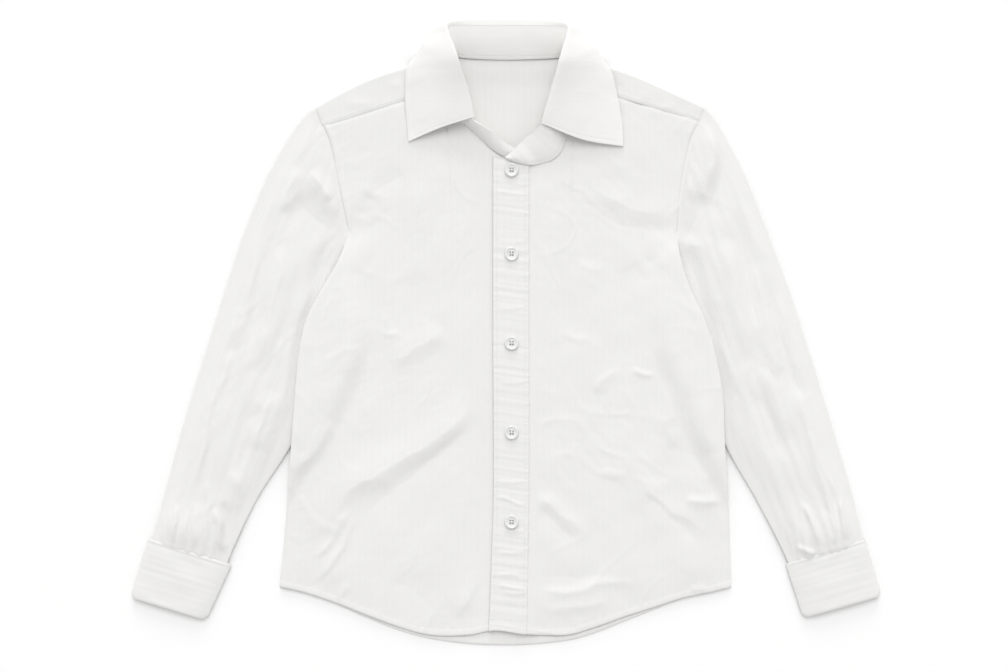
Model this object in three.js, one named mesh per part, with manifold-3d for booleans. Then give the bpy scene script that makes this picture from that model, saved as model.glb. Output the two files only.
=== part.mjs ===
// A child's long-sleeved button-up shirt laid flat on its back, collar towards +Y.
// Millimetres, +Z up, origin on the table under the middle of the laid shirt.
// "right" and "left" are the wearer's: the wearer's right lies towards -X.
// Every sewn piece is a wall of its own, SEAM_GAP away from the piece it is sewn to.

import * as THREE from 'three';
import Module from 'manifold-3d';
import { mergeVertices } from 'three/addons/utils/BufferGeometryUtils.js';

const wasm = await Module();
wasm.setup();

// ---------------------------------------------------------------- driving sizes

const CLOTH = 1.0;              // wall of a single layer of shirting
const STAND_WALL = 1.4;         // collar stand: two layers and interlining
const LEAF_START = 1.5;         // from the stand's top edge to the middle of the leaf's first edge
const LEAF_WALL = 1.2;          // collar leaf: two layers, pressed
const SEAM_GAP = 0.3;           // between two pieces that are sewn together
const LAYER_GAP = 0.35;         // between two layers that just lie on each other
const SLACK = 1.6;              // air between the back and the fronts, mid body
const LEAST_AIR = 0.6;          // and at their edges
const BODY_CROWN = { rise: 0.5, width: 420, length: 560 }; // the fronts' slight dome
const BRIDGE_AIR = 1.4;         // more of it where they climb over a sleeve
const SIDE_EASE = 35;           // width over which that air closes at the side seams
const HEM_EASE = 30;            // and at the hem

const UNDERARM_Y = 82;
const BACK_YOKE_SEAM_Y = 145;
const SHOULDER_TIP_Y = 183;     // where the yoke's fold meets the armholes
const NECK_END_RIGHT_X = -50;   // where the shoulder fold of the yoke meets the neck
const NECK_END_LEFT_X = 56.5;
const PANEL_CENTRE_RIGHT_X = 18; // the right front runs on under the placket to here

const BUTTON = { diameter: 11.4, thickness: 2.4, rim: 1.5, dish: 0.7, hole: 1.5, spread: 2.3 };
const BUTTON_X = 5;
const BUTTON_TOP_Y = 132.6;      // the top button, just under the collar stand
const BUTTON_SECOND_Y = 64;
const BUTTON_PITCH = 73.1;
const BUTTON_COUNT = 5;

// ---------------------------------------------------------------- outline tables

// Body sides from the hem corner to the shoulder: y, wearer's right x, wearer's left x.
const SIDE_ROWS = [
  [-208.7, -184.9, 184.9],
  [-142.7, -178.8, 182.4],
  [-88.6, -175.1, 179.4],
  [-52.5, -172.4, 177.9],
  [-16.4, -168.9, 171.4],
  [9.8, -163.0, 163.2],
  [34.4, -150.9, 151.8],
  [57.4, -137.3, 144.1],
  [UNDERARM_Y, -127.9, 139.6],
];
const ARMHOLE_ROWS = [
  [UNDERARM_Y, -127.9, 139.6],
  [118.9, -135.3, 143.1],
  [155.8, -143.1, 150.1],
  [172, -149.8, 157.0],
  [184.5, -155.0, 162.3],
];

// Hems: x, y of the front hem, y of the longer back hem.
const HEM_ROWS = [
  [-184.9, -208.7, -208.9],
  [-165.2, -213.2, -213.6],
  [-138.2, -222.2, -223.4],
  [-111.1, -232.9, -235.0],
  [-84.0, -242.7, -245.4],
  [-60.0, -248.4, -251.4],
  [-30.0, -248.2, -255.4],
  [-8.0, -244.4, -256.4],
  [15.0, -247.4, -256.2],
  [49.6, -248.2, -252.8],
  [70.9, -242.7, -247.3],
  [96.3, -233.7, -237.4],
  [121.8, -225.5, -227.4],
  [145.0, -218.0, -218.6],
  [168.5, -213.0, -213.2],
  [184.9, -208.9, -209.1],
];

// Shoulder fold of the yoke, and its neck seam between the two folds: x, y.
const YOKE_TOP_ROWS = [
  [-155.0, 184.5],
  [-127.5, 199.7],
  [-105.4, 209.4],
  [-80.0, 217.4],
  [NECK_END_RIGHT_X, 226.2],
  [-30.0, 225.6],
  [3.0, 225.0],
  [36.0, 225.4],
  [NECK_END_LEFT_X, 226.0],
  [80.8, 218.6],
  [107.0, 209.4],
  [129.2, 199.7],
  [162.3, 184.5],
];

// Front seam of the yoke, x and y at its armhole end and at its neck end.
const YOKE_SEAM = {
  right: { armX: -148.7, armY: 169.3, neckX: NECK_END_RIGHT_X, neckY: 200.0 },
  left: { armX: 157.6, armY: 173.5, neckX: NECK_END_LEFT_X, neckY: 203.5 },
};

// Neck edges of the two fronts, from the yoke seam down to the front edge: x, y.
const NECK_RIGHT = [
  [-51.0, 193.0], [-45.5, 182.0], [-37.5, 173.5], [-29.0, 165.6],
  [-20.5, 157.4], [-11.5, 149.0], [-2.0, 143.0], [8.0, 140.9],
];
const NECK_RIGHT_END = [PANEL_CENTRE_RIGHT_X, 140.2];
const NECK_LEFT = [
  [59.4, 193.0], [56.6, 180.0], [51.4, 166.0], [47.4, 154.0],
  [43.6, 146.2], [36.5, 140.8], [28.0, 138.0],
];
const PLACKET_TOP_LEFT_Y = 137.0;
const PLACKET_TOP_RIGHT_Y = 143.0;

// The placket: y, x of its free edge, x of its sewn edge.
const PLACKET_ROWS = [
  [-247.0, -13.8, 17.4],
  [-190.0, -11.6, 18.4],
  [-130.0, -9.8, 19.3],
  [0.0, -10.2, 19.3],
  [145.0, -10.2, 19.3],
];

// Sleeves, armhole to cuff: outer edge x y, inner edge x y, thickness laid flat.
const SLEEVE_ROWS = {
  right: [
    [-169.3, 170.8, -133.0, 72.0, 3.7],
    [-193.1, 131.2, -140.2, 57.6, 4.0],
    [-213.6, 82.0, -144.4, 44.0, 4.2],
    [-229.9, 33.0, -139.6, 10.0, 4.2],
    [-242.3, -6.6, -141.6, -20.0, 4.2],
    [-254.2, -45.0, -153.8, -52.5, 4.2],
    [-266.3, -85.0, -176.4, -94.3, 4.2],
    [-276.8, -124.6, -202.6, -135.0, 3.8],
    [-285.6, -158.0, -220.8, -172.0, 2.9],
  ],
  left: [
    [172.8, 172.0, 142.6, 72.0, 3.7],
    [194.8, 131.2, 146.4, 57.6, 4.0],
    [214.4, 82.0, 149.6, 44.0, 4.2],
    [232.6, 33.0, 146.6, 10.0, 4.2],
    [245.6, -6.6, 151.0, -20.0, 4.2],
    [257.6, -45.0, 164.4, -52.5, 4.2],
    [269.8, -85.0, 181.0, -94.3, 4.2],
    [281.7, -124.6, 205.4, -137.0, 3.8],
    [289.6, -158.0, 224.6, -173.6, 2.9],
  ],
};

// Turned-up cuffs: the corners of the band laid flat.
const CUFF = {
  right: {
    topOut: [-292.4, -168.8],
    topIn: [-224.4, -190.4],
    endOut: [-307.4, -217.4],
    endIn: [-245.2, -236.2],
  },
  left: {
    topOut: [294.6, -169.4],
    topIn: [229.6, -189.8],
    endOut: [308.2, -216.2],
    endIn: [244.0, -234.4],
  },
};
const CUFF_HEIGHT = 6.0;        // the whole band laid flat
const CUFF_OUTER_WALL = 1.2;    // its turned-up layer
const CUFF_WALL = 2.2;          // both layers together
const CUFF_LIP = 9;             // how far the turned-up layer covers the sleeve

// ---------------------------------------------------------------- collar tables

// Collar stand from the wearer's right front end round the back to the left front end:
// neck seam x y, the piece that seam lies on, top edge x y z.
const STAND_ROWS = [
  [13.0, 142.6, 'front_right', 13.4, 147.0, 4.0],
  [7.0, 142.2, 'front_right', 6.6, 150.0, 4.8],
  [-2.0, 144.6, 'front_right', -1.0, 155.0, 7.6],
  [-11.0, 150.6, 'front_right', -9.6, 161.8, 10.8],
  [-20.0, 159.0, 'front_right', -19.4, 168.0, 13.0],
  [-29.0, 167.0, 'front_right', -28.6, 174.2, 14.2],
  [-38.5, 174.6, 'front_right', -31.4, 182.4, 14.8],
  [-47.0, 184.0, 'front_right', -33.8, 192.0, 15.6],
  [-51.8, 195.0, 'front_right', -36.6, 201.8, 17.0],
  [-51.8, 207.0, 'yoke_strip', -40.0, 211.4, 18.8],
  [-50.8, 217.6, 'yoke_strip', -42.6, 221.2, 20.0],
  [-46.2, 224.8, 'yoke_strip', -44.0, 231.2, 17.8],
  [-41.6, 225.6, 'yoke', -46.4, 241.0, 13.4],
  [-33.6, 224.8, 'yoke', -43.4, 248.4, 10.2],
  [-17.0, 224.0, 'yoke', -22.0, 249.0, 9.2],
  [3.0, 223.6, 'yoke', 1.6, 249.0, 9.0],
  [22.0, 224.0, 'yoke', 25.0, 248.8, 9.2],
  [39.0, 224.6, 'yoke', 46.8, 247.6, 10.2],
  [46.6, 225.2, 'yoke', 50.0, 240.6, 13.4],
  [51.8, 224.4, 'yoke_strip', 48.4, 231.0, 17.8],
  [57.4, 217.4, 'yoke_strip', 44.8, 220.8, 20.0],
  [58.8, 206.4, 'yoke_strip', 42.0, 209.6, 18.8],
  [59.8, 194.4, 'front_left', 38.8, 198.6, 17.0],
  [57.0, 181.4, 'front_left', 35.8, 187.4, 15.6],
  [52.4, 168.6, 'front_left', 33.0, 177.2, 14.2],
  [48.4, 157.0, 'front_left', 30.8, 168.8, 12.6],
  [44.4, 147.4, 'front_left', 26.2, 163.6, 11.2],
  [37.6, 141.4, 'front_left', 20.4, 159.2, 10.0],
  [28.4, 138.4, 'front_left', 14.4, 154.4, 9.2],
  [19.4, 137.0, 'placket', 8.8, 149.4, 8.8],
  [9.6, 138.8, 'placket', 3.6, 145.2, 8.0],
  [2.0, 141.2, 'placket', -0.2, 142.6, 7.6],
];

// Collar leaf, a row for each stand row it is sewn to: that row's number,
// the roll x y z, the middle of the leaf x y z, its outer edge x y z.
const LEAF_ROWS = [
  [5, -26.8, 174.6, 16.2, -53.0, 166.6, 10.6, -79.4, 155.6, 5.2],
  [6, -28.8, 182.8, 16.8, -56.0, 177.0, 11.2, -80.4, 168.6, 5.2],
  [7, -31.2, 192.4, 17.8, -58.0, 189.0, 11.8, -81.6, 183.0, 5.2],
  [8, -33.8, 202.2, 19.4, -60.0, 200.6, 12.4, -82.0, 196.4, 5.4],
  [9, -36.8, 211.8, 21.8, -62.0, 211.8, 13.0, -81.8, 207.4, 6.2],
  [10, -39.8, 221.6, 23.2, -64.0, 222.8, 12.6, -79.8, 217.8, 5.6],
  [11, -43.4, 232.0, 20.6, -66.0, 233.2, 9.6, -74.0, 225.4, 2.4],
  [12, -47.6, 243.4, 15.4, -63.4, 240.2, 6.0, -63.0, 229.0, 0.7],
  [13, -47.4, 252.6, 11.2, -52.0, 249.6, 4.0, -46.0, 226.6, 0.65],
  [14, -24.0, 255.8, 7.9, -24.0, 246.0, 2.4, -22.0, 222.6, 0.65],
  [15, 1.6, 255.9, 7.7, 1.6, 246.0, 2.4, 2.0, 222.0, 0.65],
  [16, 27.0, 255.6, 7.9, 27.0, 245.8, 2.4, 26.0, 222.6, 0.65],
  [17, 51.0, 251.4, 11.2, 56.0, 248.0, 4.0, 50.0, 226.6, 0.65],
  [18, 51.8, 243.0, 15.4, 68.0, 238.6, 6.0, 68.0, 227.0, 0.7],
  [19, 49.0, 231.6, 20.6, 72.0, 231.2, 9.6, 78.4, 224.0, 2.4],
  [20, 47.0, 221.0, 23.2, 70.4, 221.4, 12.6, 84.2, 217.0, 5.6],
  [21, 44.2, 209.8, 21.8, 68.4, 210.4, 13.0, 88.0, 208.0, 6.2],
  [22, 41.4, 198.8, 19.4, 66.8, 198.4, 12.4, 91.0, 195.4, 5.4],
  [23, 38.2, 187.4, 17.8, 66.0, 185.4, 11.8, 93.8, 182.4, 5.2],
  [24, 35.2, 177.0, 16.4, 65.4, 171.4, 11.2, 95.8, 167.6, 5.2],
  [25, 33.0, 168.4, 14.8, 63.6, 156.8, 10.2, 96.4, 151.8, 5.2],
];

// ---------------------------------------------------------------- fold tables

// Folds of the laid cloth: x y at one end, x y at the other, half width, height.
// A positive height is a ridge and a negative one a trough.
const FOLDS_RIGHT_FRONT = [
  [-14, -58, -85, -108, 9, 1.7],
  [-85, -108, -158, -180, 10, 1.5],
  [-20, -74, -92, -124, 9, -1.1],
  [-127, -148, -160, -208, 8, 1.2],
  [-54, -2, -93, -27, 9, 1.2],
  [-144, -74, -174, -116, 9, 1.1],
  [-83, 127, -101, 127, 9, -1.0],
  [-109, 110, -119, 94, 9, -1.0],
  [-93, -196, -57, -233, 12, -1.1],
  [-16, -196, -20, -230, 8, 1.3],
];
const FOLDS_LEFT_FRONT = [
  [75, -51, 123, -35, 8, 1.3],
  [104, -31, 124, -35, 7, 1.1],
  [102, -107, 150, -152, 9, -1.1],
  [150, -152, 175, -180, 9, -1.0],
  [24, -135, 71, -166, 9, 1.2],
  [148, -42, 161, -107, 10, -1.0],
  [54, 107, 112, 87, 10, -1.0],
  [112, 87, 138, 85, 9, -0.9],
  [24, -211, 78, -206, 9, 1.1],
  [148, -138, 176, -138, 8, 1.0],
  [136, 112, 143, 78, 9, 1.2],
];
const FOLDS_RIGHT_SLEEVE = [
  [-180, 144, -209, 71, 11, -1.3],
  [-209, 71, -234, -8, 10, -1.2],
  [-182, 64, -205, -31, 9, 1.5],
  [-195, 78, -212, -24, 8, -1.2],
  [-161, 108, -150, 80, 14, -1.3],
  [-235, -32, -254, -126, 8, 1.3],
  [-208, -73, -215, -124, 9, -1.2],
  [-233, -151, -228, -181, 6, 1.1],
  [-268, -143, -271, -175, 6, -1.0],
];
const FOLDS_LEFT_SLEEVE = [
  [162, 171, 170, 132, 12, 1.2],
  [170, 132, 159, 110, 11, 1.1],
  [181, 75, 190, -8, 9, 1.4],
  [185, 103, 193, 56, 9, -1.2],
  [205, 48, 215, -5, 8, 1.3],
  [210, 56, 234, -38, 9, -1.2],
  [148, 92, 163, 66, 12, -1.3],
  [233, -37, 268, -168, 8, 1.3],
  [180, -140, 246, -176, 8, 0.9],
];

// ---------------------------------------------------------------- small mathematics

const clamp01 = (t) => Math.min(1, Math.max(0, t));
const lerp = (a, b, t) => a + (b - a) * t;

function smooth(t) {
  const c = clamp01(t);
  return c * c * (3 - 2 * c);
}

// A smooth function of the first column of a table, read from another column.
function tableCurve(rows, column) {
  const slope = rows.map((row, k) => {
    const before = rows[Math.max(k - 1, 0)];
    const after = rows[Math.min(k + 1, rows.length - 1)];
    return (after[column] - before[column]) / (after[0] - before[0]);
  });
  return (at) => {
    let k = 0;
    while (k < rows.length - 2 && at > rows[k + 1][0]) k += 1;
    const span = rows[k + 1][0] - rows[k][0];
    const t = (at - rows[k][0]) / span;
    if (t < 0) return rows[k][column] + slope[k] * (at - rows[k][0]);
    if (t > 1) return rows[k + 1][column] + slope[k + 1] * (at - rows[k + 1][0]);
    const t2 = t * t;
    const t3 = t2 * t;
    return rows[k][column] * (2 * t3 - 3 * t2 + 1) + slope[k] * span * (t3 - 2 * t2 + t)
      + rows[k + 1][column] * (3 * t2 - 2 * t3) + slope[k + 1] * span * (t3 - t2);
  };
}

// A smooth line through points of any dimension, read by 0..1 of their number.
function throughPoints(points) {
  const last = points.length - 1;
  return (t) => {
    const at = clamp01(t) * last;
    const k = Math.min(Math.floor(at), last - 1);
    const f = at - k;
    const p0 = points[Math.max(k - 1, 0)];
    const p1 = points[k];
    const p2 = points[k + 1];
    const p3 = points[Math.min(k + 2, last)];
    return p1.map((value, axis) => {
      const from = (p2[axis] - p0[axis]) / 2;
      const to = (p3[axis] - value) / 2;
      const f2 = f * f;
      const f3 = f2 * f;
      return value * (2 * f3 - 3 * f2 + 1) + from * (f3 - 2 * f2 + f)
        + p2[axis] * (3 * f2 - 2 * f3) + to * (f3 - f2);
    });
  };
}

// A patch between four edges that share their corners: each edge gives [x, y] at 0..1.
function coonsPatch(low, high, start, end) {
  return (u, v) => [0, 1].map((axis) => {
    const across = lerp(start(v)[axis], end(v)[axis], u);
    const along = lerp(low(u)[axis], high(u)[axis], v);
    const corners = lerp(
      lerp(low(0)[axis], low(1)[axis], u),
      lerp(high(0)[axis], high(1)[axis], u),
      v,
    );
    return across + along - corners;
  });
}

// The height that a table of folds gives to a point.
function foldRelief(folds, x, y) {
  let height = 0;
  for (const [x0, y0, x1, y1, halfWidth, rise] of folds) {
    const dx = x1 - x0;
    const dy = y1 - y0;
    const t = clamp01(((x - x0) * dx + (y - y0) * dy) / (dx * dx + dy * dy));
    const away = Math.hypot(x - x0 - t * dx, y - y0 - t * dy) / halfWidth;
    height += rise * Math.exp(-away * away);
  }
  return height;
}

// ---------------------------------------------------------------- closed walls

// One closed wall between an outer and an inner grid of points. Either direction of the
// grid may run round on itself, and cells may be left out.
function wall(columns, rows, outerAt, innerAt, { ring = false, keeps = () => true } = {}) {
  const positions = [];
  const known = new Map();
  const triangles = [];
  const column = (i) => (ring ? (i + columns) % columns : i);

  const vertex = (layer, i, j) => {
    const key = `${layer}:${column(i)}:${j}`;
    if (!known.has(key)) {
      known.set(key, positions.length / 3);
      const at = layer === 0 ? outerAt(column(i), j) : innerAt(column(i), j);
      positions.push(at[0], at[1], at[2]);
    }
    return known.get(key);
  };
  const quad = (a, b, c, d) => triangles.push(a, b, c, a, c, d);
  const cell = (i, j) => {
    if (j < 0 || j >= rows) return false;
    if (!ring && (i < 0 || i >= columns)) return false;
    return keeps(column(i), j);
  };
  const rim = (i0, j0, i1, j1) => {
    quad(vertex(0, i0, j0), vertex(1, i0, j0), vertex(1, i1, j1), vertex(0, i1, j1));
  };

  for (let i = 0; i < columns; i += 1) {
    for (let j = rows - 1; j >= 0; j -= 1) {
      if (!cell(i, j)) continue;
      quad(vertex(0, i, j), vertex(0, i + 1, j), vertex(0, i + 1, j + 1), vertex(0, i, j + 1));
      quad(vertex(1, i, j), vertex(1, i, j + 1), vertex(1, i + 1, j + 1), vertex(1, i + 1, j));
      if (!cell(i, j - 1)) rim(i, j, i + 1, j);
      if (!cell(i + 1, j)) rim(i + 1, j, i + 1, j + 1);
      if (!cell(i, j + 1)) rim(i + 1, j + 1, i, j + 1);
      if (!cell(i - 1, j)) rim(i, j + 1, i, j);
    }
  }
  return closedGeometry(positions, triangles);
}

// An indexed geometry whose faces point out.
function closedGeometry(positions, triangles) {
  let volume = 0;
  const at = (k) => new THREE.Vector3().fromArray(positions, 3 * k);
  for (let t = 0; t < triangles.length; t += 3) {
    const [a, b, c] = triangles.slice(t, t + 3).map(at);
    volume += a.dot(b.cross(c));
  }
  const ordered = volume > 0 ? triangles : triangles.slice().reverse();
  const geometry = new THREE.BufferGeometry();
  geometry.setAttribute('position', new THREE.Float32BufferAttribute(positions, 3));
  geometry.setIndex(ordered);
  geometry.computeVertexNormals();
  return geometry;
}

// The two faces of a ribbon, half a wall to each side of its middle points.
function ribbonFaces(columns, rows, middleAt, thickness) {
  const middle = (i, j) => new THREE.Vector3(...middleAt(
    Math.min(columns, Math.max(0, i)),
    Math.min(rows, Math.max(0, j)),
  ));
  const face = (side) => (i, j) => {
    const along = middle(i + 1, j).sub(middle(i - 1, j));
    const across = middle(i, j + 1).sub(middle(i, j - 1));
    const normal = along.cross(across).normalize();
    return middle(i, j).addScaledVector(normal, side * thickness / 2).toArray();
  };
  return [face(1), face(-1)];
}

// ---------------------------------------------------------------- how the layers lie

const sideX = { right: tableCurve(SIDE_ROWS, 1), left: tableCurve(SIDE_ROWS, 2) };
const armholeX = { right: tableCurve(ARMHOLE_ROWS, 1), left: tableCurve(ARMHOLE_ROWS, 2) };
const frontHemY = tableCurve(HEM_ROWS, 1);
const backHemY = tableCurve(HEM_ROWS, 2);
const yokeTopY = tableCurve(YOKE_TOP_ROWS, 1);
const placketX = { free: tableCurve(PLACKET_ROWS, 1), sewn: tableCurve(PLACKET_ROWS, 2) };

// x of a sleeve's inner edge as a function of y, for the stretch under the body.
const tuckedEdgeX = {};
for (const side of ['right', 'left']) {
  const rows = SLEEVE_ROWS[side].map(([, , innerX, innerY]) => [innerY, innerX]);
  tuckedEdgeX[side] = tableCurve(rows.reverse(), 1);
}

const CHORD_ROOM = 0.2;         // for the flat faces of two curved pieces
const COLLAR_LIFT = 1.7;        // the yoke lies on the back of the collar leaf
const SLEEVE_LIFT = 4.6;        // the body sides lie on the tucked edges of the sleeves
const TUCK_TOP_Y = 74;
const TUCK_EASE_Y = 24;
const TUCK_EASE_X = 30;

// How far the back is lifted off the table.
function lift(x, y) {
  const collar = COLLAR_LIFT * smooth((y - 198) / 22) * smooth((88 - Math.abs(x - 2)) / 16);
  const below = smooth((TUCK_TOP_Y - y) / TUCK_EASE_Y);
  const right = smooth((tuckedEdgeX.right(y) + TUCK_EASE_X + 2 - x) / TUCK_EASE_X);
  const left = smooth((x - tuckedEdgeX.left(y) + TUCK_EASE_X + 2) / TUCK_EASE_X);
  return collar + SLEEVE_LIFT * below * Math.max(right, left);
}

// The air between the back and what lies on it.
function slack(x, y) {
  const inside = Math.min(x - sideX.right(y), sideX.left(y) - x) / SIDE_EASE;
  const sides = Math.max(smooth(inside), smooth((y - 70) / 35));
  const hem = smooth((y - frontHemY(x)) / HEM_EASE);
  const fromNeck = Math.hypot((x - 3) / 60, (y - 185) / 50);
  const neck = smooth((fromNeck - 1) / 0.5);
  const climb = clamp01(lift(x, y) / SLEEVE_LIFT);
  const crown = BODY_CROWN.rise * Math.cos(Math.PI * x / BODY_CROWN.width)
    * Math.cos(Math.PI * y / BODY_CROWN.length);
  const most = SLACK + crown - LEAST_AIR;
  return LEAST_AIR + most * sides * hem * neck + BRIDGE_AIR * 4 * climb * (1 - climb);
}

const backTop = (x, y) => lift(x, y) + CLOTH;

// Undersides of the two fronts.
function leftFrontUnder(x, y) {
  const overRight = smooth((34 - x) / 14);
  const air = Math.max(slack(x, y), overRight * (2 * LAYER_GAP + CLOTH));
  const room = Math.max(0, air - LAYER_GAP);
  const fold = foldRelief(FOLDS_LEFT_FRONT, x, y) * smooth((x - 16) / 16);
  return backTop(x, y) + air + Math.max(-room, fold * Math.min(1, room));
}

function rightFrontUnder(x, y) {
  const free = smooth((-14 - x) / 24);
  const air = lerp(LAYER_GAP, slack(x, y), free);
  const room = Math.max(0, air - LAYER_GAP);
  const fold = foldRelief(FOLDS_RIGHT_FRONT, x, y) * free;
  return backTop(x, y) + air + Math.max(-room, fold * Math.min(1, room));
}

// ---------------------------------------------------------------- body panels

const shade = (hex) => new THREE.MeshStandardMaterial({
  color: hex, roughness: 0.92, metalness: 0, side: THREE.DoubleSide,
});
const CLOTH_WHITE = 0xf0efea;
const COLLAR_WHITE = 0xf3f2ee;
const BUTTON_WHITE = 0xe9e8e2;

const group = new THREE.Group();

function add(name, geometry, colour) {
  const mesh = new THREE.Mesh(geometry, shade(colour));
  mesh.name = name;
  group.add(mesh);
}

// A point of a side edge: the side seam up to the underarm, then the armhole to topY.
function sideEdge(side, hemY, topY, split) {
  return (v) => {
    if (v <= split) {
      const y = lerp(hemY, UNDERARM_Y, v / split);
      return [sideX[side](y), y];
    }
    const y = lerp(UNDERARM_Y, topY, (v - split) / (1 - split));
    return [armholeX[side](y), y];
  };
}

function addBackBody() {
  const columns = 20;
  const rows = 18;
  const topY = BACK_YOKE_SEAM_Y - SEAM_GAP;
  const split = 15 / rows;
  const right = sideEdge('right', backHemY(SIDE_ROWS[0][1]), topY, split);
  const left = sideEdge('left', backHemY(SIDE_ROWS[0][2]), topY, split);
  const hem = (u) => {
    const x = lerp(SIDE_ROWS[0][1], SIDE_ROWS[0][2], u);
    return [x, backHemY(x)];
  };
  const seam = (u) => [lerp(armholeX.right(topY), armholeX.left(topY), u), topY];
  const patch = coonsPatch(hem, seam, right, left);
  const face = (rise) => (i, j) => {
    const [x, y] = patch(i / columns, j / rows);
    return [x, y, lift(x, y) + rise];
  };
  add('back_body', wall(columns, rows, face(CLOTH), face(0)), CLOTH_WHITE);
}

function yokeSeamY(side, x) {
  const seam = YOKE_SEAM[side];
  return lerp(seam.armY, seam.neckY, (x - seam.armX) / (seam.neckX - seam.armX));
}

// The yoke: its back layer, the folds over both shoulders and the strips in front.
function addYoke() {
  const shoulderColumns = 8;
  const neckColumns = 6;
  const columns = 2 * shoulderColumns + neckColumns;
  const backRows = 6;
  const foldRows = 4;
  const frontRows = 2;
  const columnSpan = (i) => {
    if (i <= shoulderColumns) return { from: 'right', t: i / shoulderColumns };
    if (i >= shoulderColumns + neckColumns) return { from: 'left', t: (columns - i) / shoulderColumns };
    return { from: 'neck', t: (i - shoulderColumns) / neckColumns };
  };
  const columnX = (i, armX) => {
    const { from, t } = columnSpan(i);
    if (from === 'right') return lerp(armX.right, NECK_END_RIGHT_X, t);
    if (from === 'left') return lerp(armX.left, NECK_END_LEFT_X, t);
    return lerp(NECK_END_RIGHT_X, NECK_END_LEFT_X, t);
  };
  const armholeAt = (y) => ({ right: armholeX.right(y), left: armholeX.left(y) });
  const tip = armholeAt(SHOULDER_TIP_Y);
  const low = armholeAt(BACK_YOKE_SEAM_Y);

  // Offset of the half round fold from the fold line at step k of foldRows.
  const point = (thickSide) => (i, j) => {
    const topX = columnX(i, tip);
    const foldY = yokeTopY(topX);
    const gapAir = slack(topX, foldY - 6);
    const turn = (CLOTH + gapAir) / 2;
    const backY = foldY - turn - CLOTH / 2;
    if (j <= backRows) {
      const t = j / backRows;
      const lowX = columnX(i, low);
      let x = lerp(lowX, topX, t);
      const y = lerp(BACK_YOKE_SEAM_Y, backY, t);
      if (i === 0) x = armholeX.right(y);
      if (i === columns) x = armholeX.left(y);
      const z = lift(x, y) + (thickSide > 0 ? 0 : CLOTH);
      return [x, y, z];
    }
    const radius = turn + thickSide * CLOTH / 2;
    const middleZ = lift(topX, backY) + CLOTH / 2 + turn;
    if (j <= backRows + foldRows) {
      const angle = Math.PI * (j - backRows) / foldRows;
      return [topX, backY + radius * Math.sin(angle), middleZ - radius * Math.cos(angle)];
    }
    const side = i <= shoulderColumns ? 'right' : 'left';
    const t = (j - backRows - foldRows) / frontRows;
    const seamEnd = YOKE_SEAM[side];
    const span = columnSpan(i).t;
    const lowX = lerp(seamEnd.armX, seamEnd.neckX, span);
    const lowY = yokeSeamY(side, lowX) + SEAM_GAP;
    let x = lerp(topX, lowX, t);
    const y = lerp(backY, lowY, t);
    if (i === 0) x = armholeX.right(y);
    if (i === columns) x = armholeX.left(y);
    const rise = thickSide > 0 ? CLOTH : 0;
    return [x, y, backTop(x, y) + slack(x, y) * t + gapAir * (1 - t) + rise];
  };
  const keeps = (i, j) => {
    if (j < backRows) return true;
    return i < shoulderColumns || i >= shoulderColumns + neckColumns;
  };
  const geometry = wall(columns, backRows + foldRows + frontRows, point(1), point(-1), { keeps });
  add('yoke', geometry, CLOTH_WHITE);
}

const FRONT_ROWS = 28;
const FRONT_SPLIT = 21 / FRONT_ROWS;

// The wearer's right front, which runs on under the placket.
function addRightFront() {
  const seamColumns = 8;
  const neckColumns = 8;
  const columns = seamColumns + neckColumns;
  const seam = YOKE_SEAM.right;
  const side = sideEdge('right', frontHemY(SIDE_ROWS[0][1]), seam.armY, FRONT_SPLIT);
  const neck = throughPoints([[seam.neckX, seam.neckY], ...NECK_RIGHT, NECK_RIGHT_END]);
  const top = (u) => {
    const at = u * columns;
    if (at > seamColumns) return neck((at - seamColumns) / neckColumns);
    return [lerp(seam.armX, seam.neckX, at / seamColumns), lerp(seam.armY, seam.neckY, at / seamColumns)];
  };
  const hem = (u) => {
    const x = lerp(SIDE_ROWS[0][1], PANEL_CENTRE_RIGHT_X - 1.5, u);
    return [x, frontHemY(x)];
  };
  const centre = (v) => [
    lerp(hem(1)[0], PANEL_CENTRE_RIGHT_X, v),
    lerp(hem(1)[1], NECK_RIGHT_END[1], v),
  ];
  const patch = coonsPatch(hem, top, side, centre);
  const face = (rise) => (i, j) => {
    const [x, y] = patch(i / columns, j / FRONT_ROWS);
    return [x, y, rightFrontUnder(x, y) + rise];
  };
  add('front_right', wall(columns, FRONT_ROWS, face(CLOTH), face(0)), CLOTH_WHITE);
}

const PLACKET_COLUMNS = 2;

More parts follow.
